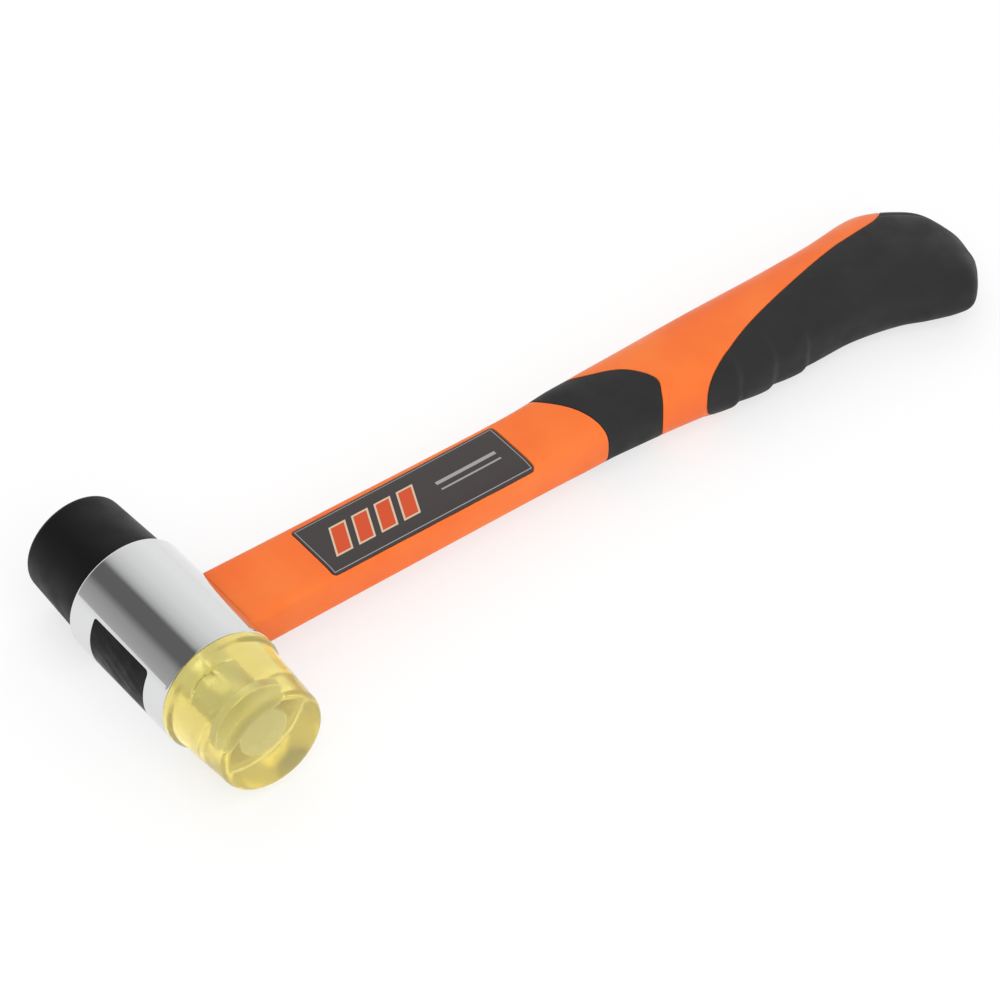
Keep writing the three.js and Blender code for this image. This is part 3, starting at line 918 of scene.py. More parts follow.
@dataclass(frozen=True)
class HandleForm:
    """The handle's outer form, drawn through rows of sections from the head to the butt.

    Attributes:
        neck_length: end of the straight neck, from the head axis.
        swell_length: length of the swell behind it.
        grip_length: length of the grip.
        butt_length: length of the hooked butt.
        neck_root_width: width where the neck meets the barrel.
        neck_width: width at the neck's end.
        neck_thickness: thickness of the neck.
        grip_width: width of the grip.
        grip_thickness: thickness of the grip.
        butt_corner_reach: how far the butt's far corner reaches from the middle.
        butt_hook_reach: how far the butt's hook reaches to the near side.
        butt_edge_thickness: thickness near the butt's end.
        butt_flare_lead: how far the near edge flares before the far edge.
        swell_lean: how far the swell leans to the far side.
        grip_lean: how far the grip leans to the near side.
        neck_power: squareness of the neck's sections.
        grip_power: squareness of the grip's sections.
        root_x: where the form starts inside the barrel.
        finger_start: where the finger steps start.
        finger_count: number of finger steps.
        finger_pitch: distance between them.
        finger_depth: how far each stands proud.
        finger_crest: share of a step at which it is highest.
        finger_lift: share of its height that it also has above and below.
    """

    neck_length: float = 118.0
    swell_length: float = 22.0
    grip_length: float = 93.0
    butt_length: float = 42.5
    neck_root_width: float = 25.2
    neck_width: float = 23.5
    neck_thickness: float = 12.9
    grip_width: float = 30.0
    grip_thickness: float = 24.4
    butt_corner_reach: float = 17.3
    butt_hook_reach: float = 26.4
    butt_edge_thickness: float = 8.0
    butt_flare_lead: float = 4.5
    swell_lean: float = 0.6
    grip_lean: float = 0.45
    neck_power: float = 6.0
    grip_power: float = 2.7
    root_x: float = 9.25
    finger_start: float = 173.5
    finger_count: int = 3
    finger_pitch: float = 12.5
    finger_depth: float = 0.9
    finger_crest: float = 0.76
    finger_lift: float = 0.8

    @property
    def swell_x(self) -> float:
        """Where the swell ends and the grip starts."""
        return self.neck_length + self.swell_length

    @property
    def grip_end_x(self) -> float:
        """Where the grip ends and the butt starts."""
        return self.swell_x + self.grip_length

    @property
    def end_x(self) -> float:
        """The butt's far end."""
        return self.grip_end_x + self.butt_length

    @cached_property
    def edges(self) -> tuple[np.ndarray, np.ndarray]:
        """Far and near edge points of each row, with the half thickness as height.

        Returns:
            The far points and the near points.
        """
        rows = [*self.straight_rows(), *self.butt_rows()]
        far = np.array([(row[0], row[1], row[4]) for row in rows])
        near = np.array([(row[2], row[3], row[4]) for row in rows])
        return far, near

    def straight_rows(self) -> list[tuple[float, ...]]:
        """Rows of the neck, the swell and the grip, square to the handle.

        Returns:
            Far x and y, near x and y and half thickness of each row.
        """

        def level(x: float, width: float, thickness: float, lean: float = 0.0) -> tuple[float, ...]:
            """A row across the handle."""
            return (x, width / 2 + lean, x, lean - width / 2, thickness / 2)

        def swell(share: float) -> float:
            """Width between neck and grip."""
            return lerp(self.neck_width, self.grip_width, share)

        def depth(share: float) -> float:
            """Thickness between neck and grip."""
            return lerp(self.neck_thickness, self.grip_thickness, share)

        def grip(share: float) -> float:
            """Place along the grip."""
            return lerp(self.swell_x, self.grip_end_x, share)

        middle_width = lerp(self.neck_root_width, self.neck_width, 0.55)
        return [
            level(self.root_x, self.neck_root_width, self.neck_thickness),
            level(lerp(self.root_x, self.neck_length, 0.45), middle_width, self.neck_thickness),
            level(self.neck_length, self.neck_width, depth(0.09)),
            level(self.swell_x, swell(0.385), depth(0.466), self.swell_lean),
            level(grip(0.25), swell(0.646), depth(0.652), self.swell_lean / 2),
            level(grip(0.51), self.grip_width, depth(0.845), -self.grip_lean),
            level(grip(0.79), self.grip_width, depth(0.968), -self.grip_lean),
        ]

    def butt_rows(self) -> list[tuple[float, ...]]:
        """Rows of the hooked butt, which fan out from its far corner.

        Returns:
            Far x and y, near x and y and half thickness of each row.
        """

        def at(share: float) -> float:
            """Place along the butt."""
            return self.grip_end_x + self.butt_length * share

        def hook(share: float) -> float:
            """Reach to the near side."""
            return lerp(-self.grip_width / 2, -self.butt_hook_reach, share)

        def corner(share: float) -> float:
            """Reach to the far side."""
            return self.butt_corner_reach * share

        def half(share: float) -> float:
            """Half thickness between the butt's edge and the grip."""
            return lerp(self.butt_edge_thickness, self.grip_thickness, share) / 2

        return [
            (self.grip_end_x, corner(0.89), self.grip_end_x - self.butt_flare_lead, hook(0.04), half(1.0)),
            (at(0.35), corner(1.0), at(0.24), hook(0.32), half(1.0)),
            (at(0.53), corner(0.98), at(0.44), hook(0.68), half(0.93)),
            (at(0.73), corner(0.78), at(0.62), hook(0.965), half(0.78)),
            (at(0.885), corner(0.47), at(0.735), hook(0.99), half(0.58)),
            (at(0.98), corner(-0.12), at(0.855), hook(0.54), half(0.12)),
            (self.end_x, corner(-0.36), at(0.95), hook(0.07), half(0.0) / 3),
        ]

    @property
    def last_row(self) -> int:
        """Number of the last row."""
        return len(self.edges[0]) - 1

    @property
    def edge_row(self) -> int:
        """Number of the row where the butt's edge starts to round off."""
        return self.last_row - 1

    @property
    def butt_row(self) -> int:
        """Number of the row where the butt starts."""
        return len(self.straight_rows())

    def power(self, row: np.ndarray) -> np.ndarray:
        """Squareness of the sections: flat and boxy along the neck, rounder along the grip."""
        return lerp(self.neck_power, self.grip_power, smoothstep((row - 1.5) / 1.7))

    def finger_step(self, x: np.ndarray) -> np.ndarray:
        """How far the finger steps stand proud at a place along the near edge.

        Args:
            x: places along the near edge.

        Returns:
            The heights, in millimetres.
        """
        phase = (x - self.finger_start) / self.finger_pitch
        part = np.mod(phase, 1.0)
        rising = np.sin(np.clip(part / self.finger_crest, 0, 1) * RIGHT_ANGLE)
        dropping = 1 - smoothstep((part - self.finger_crest) / (1 - self.finger_crest))
        step = np.where(part < self.finger_crest, rising, dropping)
        return np.where((phase > 0) & (phase < self.finger_count), step * self.finger_depth, 0.0)

    def points(self, row: np.ndarray, turn: np.ndarray, inset: np.ndarray | float = 0.0) -> np.ndarray:
        """Points of the form, or of the form drawn in.

        Args:
            row: row of each point.
            turn: angle of each point round its section, from the far side over the top.
            inset: how far the form is drawn in.

        Returns:
            The points, in millimetres.
        """
        row, turn, inset = np.broadcast_arrays(np.asarray(row, float), turn, inset)
        far, near = along(self.edges[0], row), along(self.edges[1], row)
        middle, reach = (far + near) / 2, (far - near) / 2
        half = np.maximum(middle[..., 2] - inset, 0.05)
        length = np.hypot(reach[..., 0], reach[..., 1])
        scale = np.maximum(length - inset, 0.05) / length
        cos, sin = np.cos(turn), np.sin(turn)
        power = 2 / self.power(row)
        across = np.sign(cos) * np.abs(cos) ** power
        up = np.sign(sin) * np.abs(sin) ** power
        end_share = np.maximum(0, row - self.butt_row) / (self.last_row - self.butt_row)
        step = np.where(inset < self.finger_depth, self.finger_step(near[..., 0]), 0.0)
        x = middle[..., 0] + reach[..., 0] * scale * across - inset * end_share
        y = middle[..., 1] + reach[..., 1] * scale * across
        bulge = np.where(across < 0, step * across**2, 0.0)
        return np.stack([x, y - bulge, (half + self.finger_lift * bulge) * up], axis=-1)

    def row_at(self, x: np.ndarray | float) -> np.ndarray:
        """Rows at which the near edge reaches a place along the handle, short of the butt."""
        rows = np.linspace(0, self.butt_row, ROW_SAMPLES)
        return np.interp(x, along(self.edges[1], rows)[:, 0], rows)

    def top(self, x: np.ndarray, y: np.ndarray) -> np.ndarray:
        """Height of the upper side of the neck over a place in plan.

        Args:
            x: places along the handle.
            y: places across it.

        Returns:
            The heights.
        """
        row = self.row_at(x)
        far, near = along(self.edges[0], row), along(self.edges[1], row)
        middle, reach = (far + near) / 2, (far - near) / 2
        across = np.clip(np.abs((y - middle[..., 1]) / reach[..., 1]), 0, 0.999)
        power = self.power(row)
        return middle[..., 2] * (1 - across**power) ** (1 / power)


class Border:
    """A line round the handle at which one material ends."""

    def past(self, where: np.ndarray, shift: float) -> np.ndarray:
        """How far points lie past the border, after it is moved towards the butt by a shift."""
        raise NotImplementedError


@dataclass(frozen=True)
class PlanBorder(Border):
    """A border that is a curve in plan, cut straight down through the handle.

    Attributes:
        line: points of the curve, from the near side to the far side.
    """

    line: tuple[tuple[float, float], ...]

    @cached_property
    def sampled(self) -> tuple[np.ndarray, np.ndarray]:
        """Close points of the curve with straight ends, and its normals towards the butt.

        Returns:
            The points and the normals.
        """
        curve = along(np.array(self.line), np.linspace(0, len(self.line) - 1, CURVE_POINTS))
        beyond = np.array([0.0, 60.0])
        curve = np.vstack([curve[0] - beyond, curve, curve[-1] + beyond])
        way = np.gradient(curve, axis=0)
        normal = np.column_stack([way[:, 1], -way[:, 0]])
        return curve, normal / np.linalg.norm(normal, axis=1)[:, None]

    def past(self, where: np.ndarray, shift: float) -> np.ndarray:
        """How far points lie past the border along the handle.

        Args:
            where: points of the handle.
            shift: how far the border is moved towards the butt.

        Returns:
            The distances, below zero before the border.
        """
        curve, normal = self.sampled
        moved = curve + normal * shift
        rising = np.maximum.accumulate(moved[:, 1])
        return where[..., 0] - np.interp(where[..., 1], rising, moved[:, 0])


@dataclass(frozen=True)
class CopeBorder(Border):
    """The border where the handle is coped to the barrel.

    Attributes:
        radius: radius of the cope about the head axis.
    """

    radius: float

    def past(self, where: np.ndarray, shift: float) -> np.ndarray:
        """How far points lie outside the cope."""
        return np.hypot(where[..., 0], where[..., 2]) - self.radius - shift


@dataclass(frozen=True)
class LabelPlate:
    """The plate let into the upper side of the neck.

    Attributes:
        start: where it starts along the handle.
        length: its length.
        width: its width.
        offset: how far its middle lies from the handle's middle, to the far side.
        corner: corner radius.
        thickness: its thickness.
        sink: how far its face lies below the handle's surface.
        clearance: gap round its edge.
        bevel: bevel round its face.
    """

    start: float = 45.6
    length: float = 68.6
    width: float = 20.4
    offset: float = -0.8
    corner: float = 1.2
    thickness: float = 0.6
    sink: float = 0.08
    clearance: float = 0.12
    bevel: float = 0.12

    def outside(self, x: np.ndarray, y: np.ndarray) -> np.ndarray:
        """Distance in plan from the plate's outline, below zero inside it.

        Args:
            x: places along the handle.
            y: places across it.

        Returns:
            The distances.
        """
        far_x = np.abs(x - self.start - self.length / 2) - self.length / 2 + self.corner
        far_y = np.abs(y - self.offset) - self.width / 2 + self.corner
        corner = np.hypot(np.maximum(far_x, 0), np.maximum(far_y, 0))
        return corner + np.minimum(np.maximum(far_x, far_y), 0) - self.corner

    def pocket(self, where: np.ndarray) -> np.ndarray:
        """How deep the pocket for the plate is at points of the handle's surface.

        Args:
            where: the points.

        Returns:
            The depths.
        """
        slope = 0.14
        depth = self.sink + self.thickness + 0.1
        share = 1 - smoothstep((self.outside(where[..., 0], where[..., 1]) - self.clearance) / slope)
        return np.where(where[..., 2] > 0, depth * share, 0.0)

    def loops(self, grow: float, columns: int = 120, rows: int = 40) -> np.ndarray:
        """A grid of plan points that fills the outline.

        Args:
            grow: how far the outline is grown.
            columns: points along the plate.
            rows: points across it.

        Returns:
            An array of rows by columns by two.
        """
        half_width, corner = self.width / 2 + grow, max(self.corner + grow, 0.05)
        straight = half_width - corner
        y = np.sin(np.linspace(-1, 1, rows) * RIGHT_ANGLE) * half_width
        dip = np.maximum(np.abs(y) - straight, 0)
        reach = self.length / 2 + grow - corner + np.sqrt(np.maximum(corner**2 - dip**2, 0))
        share = np.sin(np.linspace(-1, 1, columns) * RIGHT_ANGLE)
        x = self.start + self.length / 2 + reach[:, None] * share[None, :]
        return np.stack([x, np.broadcast_to((y + self.offset)[:, None], x.shape)], axis=-1)

    def build(self, form: HandleForm) -> bpy.types.Object:
        """Builds the plate so that it follows the handle's upper side.

        Args:
            form: the handle's form.

        Returns:
            The new object.
        """
        face = self.lift(form, self.loops(-self.bevel), 0.0)
        side = self.rim(self.lift(form, self.loops(0.0), -self.bevel))
        foot = self.rim(self.lift(form, self.loops(0.0), -self.thickness))
        back = self.lift(form, self.loops(-self.bevel), -self.thickness)
        draft = Draft()
        front_numbers = self.sheet(draft, face)
        rings = draft.tube([side, foot])
        back_numbers = self.sheet(draft, back)
        draft.bridge(self.rim(front_numbers), rings[0])
        draft.bridge(rings[1], self.rim(back_numbers))
        return new_object(draft.mesh("neck_label", 35.0, EYE_OFFSET), "neck_label")

    def middle(self, form: HandleForm) -> np.ndarray:
        """The handle's surface over the plate's middle, as one point."""
        x, y = np.array([self.start + self.length / 2]), np.array([self.offset])
        return np.column_stack([x, y, form.top(x, y)])

    def lift(self, form: HandleForm, plan: np.ndarray, height: float) -> np.ndarray:
        """Raises plan points to the handle's surface plus a height."""
        z = form.top(plan[..., 0], plan[..., 1]) - self.sink + height
        return np.concatenate([plan, z[..., None]], axis=-1)

    @staticmethod
    def rim(grid: np.ndarray) -> np.ndarray:
        """The points round the edge of a grid, in order."""
        return np.concatenate([grid[0, :-1], grid[:-1, -1], grid[-1, :0:-1], grid[:0:-1, 0]])

    @staticmethod
    def sheet(draft: Draft, grid: np.ndarray) -> np.ndarray:
        """Adds a grid of points with its faces and returns their numbers as a grid.

        Args:
            draft: the surface that the grid joins.
            grid: the points.

        Returns:
            The numbers.
        """
        numbers = draft.ring(grid.reshape(-1, 3)).reshape(grid.shape[:2])
        for upper, lower in zip(numbers, numbers[1:]):
            quads = zip(upper, upper[1:], lower[1:], lower)
            draft.faces.extend(tuple(int(i) for i in quad) for quad in quads)
        return numbers


@dataclass
class Handle:
    """The handle: core, jacket, front band, rear grip and label plate.

    Attributes:
        form: the outer form.
        label: the label plate.
        barrel_radius: radius of the barrel that the jacket is coped to.
        skin: thickness of the soft overmoulds.
        seam: gap between a soft piece and the jacket.
        lip: rounding of the edges at a seam.
        seat_gap: gap under a soft piece.
        root_gap: gap between the jacket and the barrel.
        root_lip: rounding of the jacket's edge at the barrel.
        core_width: width of the core's bore.
        core_thickness: thickness of the core's bore.
        core_end: where the core's bore ends.
        band_start: far end of the front band's front edge.
        band_sweep: how far that edge sweeps back to the near side.
        band_width_far: width of the band at the far side.
        band_width_crest: width of the band at its widest.
        band_width_near: width of the band at the near side.
        rear_cap: length of the butt that the rear grip covers at the far side.
        rim_turn: where the groove inside the butt's rim runs, as an angle round the section.
        rim_width: its half width, as an angle.
        rim_depth: its depth.
        end_bulge: how far the butt's end bulges.
    """

    form: HandleForm = field(default_factory=HandleForm)
    label: LabelPlate = field(default_factory=LabelPlate)
    barrel_radius: float = BARREL_RADIUS
    skin: float = 2.2
    seam: float = 0.1
    lip: float = 0.24
    seat_gap: float = 0.3
    root_gap: float = 0.12
    root_lip: float = 0.3
    core_width: float = CORE_BORE_WIDTH
    core_thickness: float = CORE_BORE_THICKNESS
    core_end: float = 220.3
    band_start: float = 127.5
    band_sweep: float = 12.0
    band_width_far: float = 13.0
    band_width_crest: float = 24.0
    band_width_near: float = 18.0
    rear_cap: float = 14.0
    rim_turn: float = 0.95
    rim_width: float = 0.07
    rim_depth: float = 0.22
    end_bulge: float = 0.5

    def __post_init__(self) -> None:
        """Draws the borders from the sizes."""
        self.cope = CopeBorder(self.barrel_radius + self.root_gap)
        self.band_front = self.front_border()
        self.band_back = self.back_border()
        self.rear = self.rear_border()

    @property
    def band_near_x(self) -> float:
        """Where the front band starts at the near side."""
        return self.band_start + self.band_sweep

    def front_border(self) -> PlanBorder:
        """The front band's front edge.

        Returns:
            The border.
        """
        half = self.form.neck_width / 2
        start, sweep = self.band_start, self.band_sweep
        return PlanBorder((
            (self.band_near_x, half * -1.18),
            (self.band_near_x - sweep * 0.05, half * -0.9),
            (start + sweep * 0.68, 0.0),
            (start + sweep * 0.26, half * 0.72),
            (start, half * 1.2),
        ))

    def back_border(self) -> PlanBorder:
        """The front band's back edge, which swings out past the middle of the upper side.

        Returns:
            The border.
        """
        half = self.form.neck_width / 2
        far = self.band_start + self.band_width_far
        near = self.band_near_x + self.band_width_near
        crest = self.band_start + self.band_sweep * 0.82 + self.band_width_crest
        return PlanBorder((
            (near, half * -1.18),
            (lerp(near, crest, 0.6), half * -0.86),
            (crest, half * -0.43),
            (lerp(far, crest, 0.75), half * 0.26),
            (lerp(far, crest, 0.27), half * 0.75),
            (far, half * 1.2),
        ))

    def rear_border(self) -> PlanBorder:
        """The rear grip's edge, which climbs slowly across the handle to the far side of the butt.

        Returns:
            The border.
        """
        half = self.form.grip_width / 2
        start = self.form.finger_start
        end = self.form.end_x - self.rear_cap
        return PlanBorder((
            (start, half * -1.05),
            (start, half * -0.94),
            (lerp(start, end, 0.11), half * -0.65),
            (lerp(start, end, 0.275), half * -0.29),
            (lerp(start, end, 0.48), half * 0.04),
            (lerp(start, end, 0.71), half * 0.35),
            (lerp(start, end, 0.86), half * 0.45),
            (lerp(start, end, 0.94), half * 0.6),
            (end, half * 0.93),
        ))

    def rows_on(self, border: Border, turns: np.ndarray, shift: float, inset: float) -> np.ndarray:
        """Rows at which a border crosses each line along the handle.

        Args:
            border: the border.
            turns: the lines, as angles round the section.
            shift: how far the border is moved towards the butt.
            inset: how far the form is drawn in there.

        Returns:
            A row for each line.
        """
        low = np.zeros(len(turns))
        high = np.full(len(turns), self.form.edge_row - 1.0)
        for _ in range(SEARCH_STEPS):
            middle = (low + high) / 2
            before = border.past(self.form.points(middle, turns, inset), shift) < 0
            low, high = np.where(before, middle, low), np.where(before, high, middle)
        return (low + high) / 2

    def ring(self, border: Border, turns: np.ndarray, shift: float, inset: float) -> np.ndarray:
        """A ring of points on a border."""
        return self.form.points(self.rows_on(border, turns, shift, inset), turns, inset)

    def edge(
        self, border: Border, turns: np.ndarray, side: float, depth: float, lip: float
    ) -> list[np.ndarray]:
        """Rings of a rounded edge at a border, from the surface down.

        Args:
            border: the border.
            turns: the lines along the handle.
            side: 1 where the piece lies past the border, and -1 where it lies before it.
            depth: how deep the last ring lies.
            lip: rounding of the edge.

        Returns:
            The rings, from the first on the surface to the deepest.
        """
        rings = []
        for turn in np.linspace(0, RIGHT_ANGLE, EDGE_STEPS):
            shift = self.seam / 2 + lip * (1 - math.sin(turn))
            rings.append(self.ring(border, turns, side * shift, lip * (1 - math.cos(turn))))
        rings.append(self.ring(border, turns, side * self.seam / 2, depth))
        return rings

    def span(
        self, turns: np.ndarray, start: np.ndarray, stop: np.ndarray, count: int, inset: float = 0.0
    ) -> list[np.ndarray]:
        """Rings between two sets of rows, without the two ends themselves."""
        shares = np.linspace(0, 1, count + 2)[1:-1]
        return [self.form.points(start + (stop - start) * share, turns, inset) for share in shares]

    def surface_rows(self, border: Border, turns: np.ndarray, side: float) -> np.ndarray:
        """Rows at which the plain surface starts beside a border's rounded edge."""
        return self.rows_on(border, turns, side * (self.seam / 2 + self.lip), 0.0)

    def build_band(self) -> bpy.types.Object:
        """Builds the soft front band as a closed ring.

        Returns:
            The new object.
        """
        turns = np.arange(LINES_ROUND) / LINES_ROUND * FULL_TURN
        start = self.surface_rows(self.band_front, turns, 1.0)
        stop = self.surface_rows(self.band_back, turns, -1.0)
        front = self.edge(self.band_front, turns, 1.0, self.skin, self.lip)
        back = self.edge(self.band_back, turns, -1.0, self.skin, self.lip)
        inner_start = self.rows_on(self.band_front, turns, self.seam / 2, self.skin)
        inner_stop = self.rows_on(self.band_back, turns, -self.seam / 2, self.skin)
        rings = [*front[::-1], *self.span(turns, start, stop, count=56), *back]
        rings.extend(self.span(turns, inner_stop, inner_start, count=10, inset=self.skin))
        draft = Draft()
        draft.tube(rings, loop=True)
        return new_object(draft.mesh("swell_band", 40.0, EYE_OFFSET), "swell_band")

    def build_grip(self) -> bpy.types.Object:
        """Builds the soft rear grip with its finger steps and rounded butt.

        Returns:
            The new object.
        """
        form = self.form
        turns = np.arange(LINES_ROUND) / LINES_ROUND * FULL_TURN
        start = self.surface_rows(self.rear, turns, 1.0)
        inner = self.rows_on(self.rear, turns, self.seam / 2, self.skin)
        edge = self.edge(self.rear, turns, 1.0, self.skin, self.lip)
        butt = np.full(len(turns), float(form.edge_row))
        last = np.full(len(turns), float(form.last_row))
        lining = self.span(turns, butt, inner, count=24, inset=self.skin)
        inner_rings = [form.points(butt, turns, self.skin), *lining]
        outer = [start + (butt - start) * share for share in np.linspace(0, 1, GRIP_RINGS + 1)[1:]]
        outside = [form.points(rows, turns, self.rim_groove(rows, turns)) for rows in outer]
        end_rings = [*self.span(turns, butt, last, count=10), *self.rounded_end(form.points(last, turns))]
        draft = Draft()
        numbers = draft.tube([*inner_rings, *edge[::-1], *outside, *end_rings])
        draft.strip(numbers[0])
        draft.strip(numbers[-1])
        return new_object(draft.mesh("butt_grip", 50.0, EYE_OFFSET), "butt_grip")

    def rim_groove(self, rows: np.ndarray, turns: np.ndarray) -> np.ndarray:
        """Depth of the groove that runs inside the butt's rounded rim, above and below.

        Args:
            rows: rows of the points.
            turns: their angles round the section.

        Returns:
            The depths.
        """
        form = self.form
        rise = smoothstep(rows - form.butt_row - 0.2)
        fall = 1 - smoothstep((rows - form.edge_row + 0.7) / 0.6)
        across = (np.minimum(turns, FULL_TURN - turns) - self.rim_turn) / self.rim_width
        return self.rim_depth * rise * fall * np.exp(-(across**2))

    def rounded_end(self, last: np.ndarray) -> list[np.ndarray]:
        """Rings that round the butt's last section off.

        Args:
            last: the last section's points.

        Returns:
            The section itself and the rings beyond it.
        """
        far, near = last[0], last[len(last) // 2]
        reach = (far - near) / 2
        middle = (far + near) / 2
        half = last[:, 2].max()
        out = np.array([reach[1], -reach[0], 0.0]) / np.linalg.norm(reach)
        dome = 1 - ((last - middle) @ reach / (reach @ reach)) ** 2
        rings = [last]
        for turn in np.linspace(0, RIGHT_ANGLE, EDGE_STEPS)[1:]:
            squeeze = max(math.cos(turn), 0.05)
            ring = middle + (last - middle) * (1 - (half / np.linalg.norm(reach)) * (1 - squeeze))
            ring[:, 2] = last[:, 2] * squeeze
            rings.append(ring + self.end_bulge * math.sin(turn) * dome[:, None] * out)
        return rings

    def jacket_turns(self) -> np.ndarray:
        """Lines along the jacket, closer together beside the label's long edges.

        Returns:
            The lines, as angles round the section.
        """
        form = self.form
        even = np.arange(JACKET_LINES) / JACKET_LINES * FULL_TURN
        middle_x = self.label.start + self.label.length / 2
        reach = float(along(form.edges[0], form.row_at(np.array([middle_x])))[0, 1])
        close = []
        for side in (-1.0, 1.0):
            edge = self.label.offset + side * self.label.width / 2
            for offset in np.linspace(-0.6, 0.8, 15):
                across = np.clip((edge + side * offset) / reach, -0.999, 0.999)
                cos = math.copysign(abs(across) ** (form.neck_power / 2), across)
                close.append(math.acos(cos))
        merged = np.sort(np.concatenate([even, close]))
        return merged[np.concatenate([[True], np.diff(merged) > 1e-4])]

    def build_jacket(self) -> bpy.types.Object:
        """Builds the orange jacket with its seats, its cope, its label pocket and the core's bore.

        Returns:
            The new object.
        """
        form = self.form
        turns = self.jacket_turns()
        seat = self.skin + self.seat_gap
        butt = np.full(len(turns), float(form.edge_row))
        rear_seat = self.rows_on(self.rear, turns, -self.seam / 2, seat)
        back_seat = self.rows_on(self.band_back, turns, self.seam / 2, seat)
        front_seat = self.rows_on(self.band_front, turns, -self.seam / 2, seat)
        rear_start = self.surface_rows(self.rear, turns, -1.0)
        waist_start = self.surface_rows(self.band_back, turns, 1.0)
        neck_end = self.surface_rows(self.band_front, turns, -1.0)
        root_edge = []
        for turn in np.linspace(0, RIGHT_ANGLE, EDGE_STEPS):
            out, down = self.root_lip * (1 - math.sin(turn)), self.root_lip * (1 - math.cos(turn))
            root_edge.append(self.ring(self.cope, turns, out, down))
        rings = [form.points(butt, turns, seat), *self.span(turns, butt, rear_seat, count=20, inset=seat)]
        rings.extend(self.edge(self.rear, turns, -1.0, seat, self.lip)[::-1])
        rings.extend(self.span(turns, rear_start, waist_start, count=90))
        rings.extend(self.edge(self.band_back, turns, 1.0, seat, self.lip))
        rings.extend(self.span(turns, back_seat, front_seat, count=8, inset=seat))
        rings.extend(self.edge(self.band_front, turns, -1.0, seat, self.lip)[::-1])
        rings.extend(self.neck_rings(turns, neck_end))
        rings.extend(root_edge)
        rings.extend(self.bore_rings(turns))
        draft = Draft()
        numbers = draft.tube(rings)
        draft.strip(numbers[0])
        draft.fan(numbers[-1], (self.core_end, 0, 0))
        return new_object(draft.mesh("orange_jacket", 40.0, EYE_OFFSET), "orange_jacket")

    def neck_rings(self, turns: np.ndarray, neck_end: np.ndarray) -> list[np.ndarray]:
        """Rings of the neck from the band to the barrel, with the label's pocket.

        Args:
            turns: the lines along the jacket.
            neck_end: rows at which the neck's plain surface ends.

        Returns:
            The rings.
        """
        form, label = self.form, self.label
        label_end = label.start + label.length
        # Stations lie close at the label's short edges, wider round its corners and widest along its middle
        close = np.linspace(-0.8, 0.8, 17)
        corner = np.linspace(1.0, 4.0, 9)
        middle = np.linspace(label.start + 4.5, label_end - 4.5, 44)
        stations = np.concatenate([
            label_end + close, label_end - corner, middle, label.start + corner, label.start + close,
        ])
        stations = np.sort(np.unique(stations.round(4)))[::-1]
        first, last = form.row_at(stations[0]), form.row_at(stations[-1])
        root = self.rows_on(self.cope, turns, self.root_lip, 0.0)
        rings = self.span(turns, neck_end, np.full(len(turns), first), count=12)
        for row in form.row_at(stations):
            plain = form.points(np.full(len(turns), row), turns)
            rings.append(form.points(np.full(len(turns), row), turns, label.pocket(plain)))
        rings.extend(self.span(turns, np.full(len(turns), last), root, count=20))
        return rings

    def bore_rings(self, turns: np.ndarray) -> list[np.ndarray]:
        """Rings of the cope face and the core's bore.

        Args:
            turns: the lines along the jacket.

        Returns:
            The rings, from the barrel to the bore's end.
        """
        way = np.column_stack([np.cos(turns), np.sin(turns)])
        half = np.array([self.core_width / 2, self.core_thickness / 2])
        section = np.sign(way) * np.abs(way) ** (1 / 3) * half
        x = np.sqrt(self.cope.radius**2 - section[:, 1] ** 2)
        stations = [x, np.full(len(turns), self.cope.radius + 6.0), np.full(len(turns), self.core_end)]
        return [np.column_stack([station, section]) for station in stations]

    def dress(self) -> None:
        """Builds every piece of the handle and dresses it."""
        spot = LIE.place(self.label.middle(self.form) + np.array([0.0, EYE_OFFSET, 0.0]))[0]
        film = PrintedFilm(
            "printed_label_film", "label_film", (0.046, 0.038, 0.036, 1.0), middle=(spot[0], spot[1]),
            length=self.label.length * METRES, width=self.label.width * METRES,
        )
        add_piece(self.build_jacket(), ORANGE, Body.MALLET, "handle_jacket")
        add_piece(self.build_band(), SOFT_BLACK, Body.MALLET, "front_band")
        add_piece(self.build_grip(), SOFT_BLACK, Body.MALLET, "rear_grip")
        add_piece(self.label.build(self.form), film, Body.MALLET, "label_plate")
        core = frame["nodes"]["handle_core"]
        core.data.materials.clear()
        core.data.materials.append(FIBREGLASS.material())
        LOG.info("handle_core: kept from the frame")


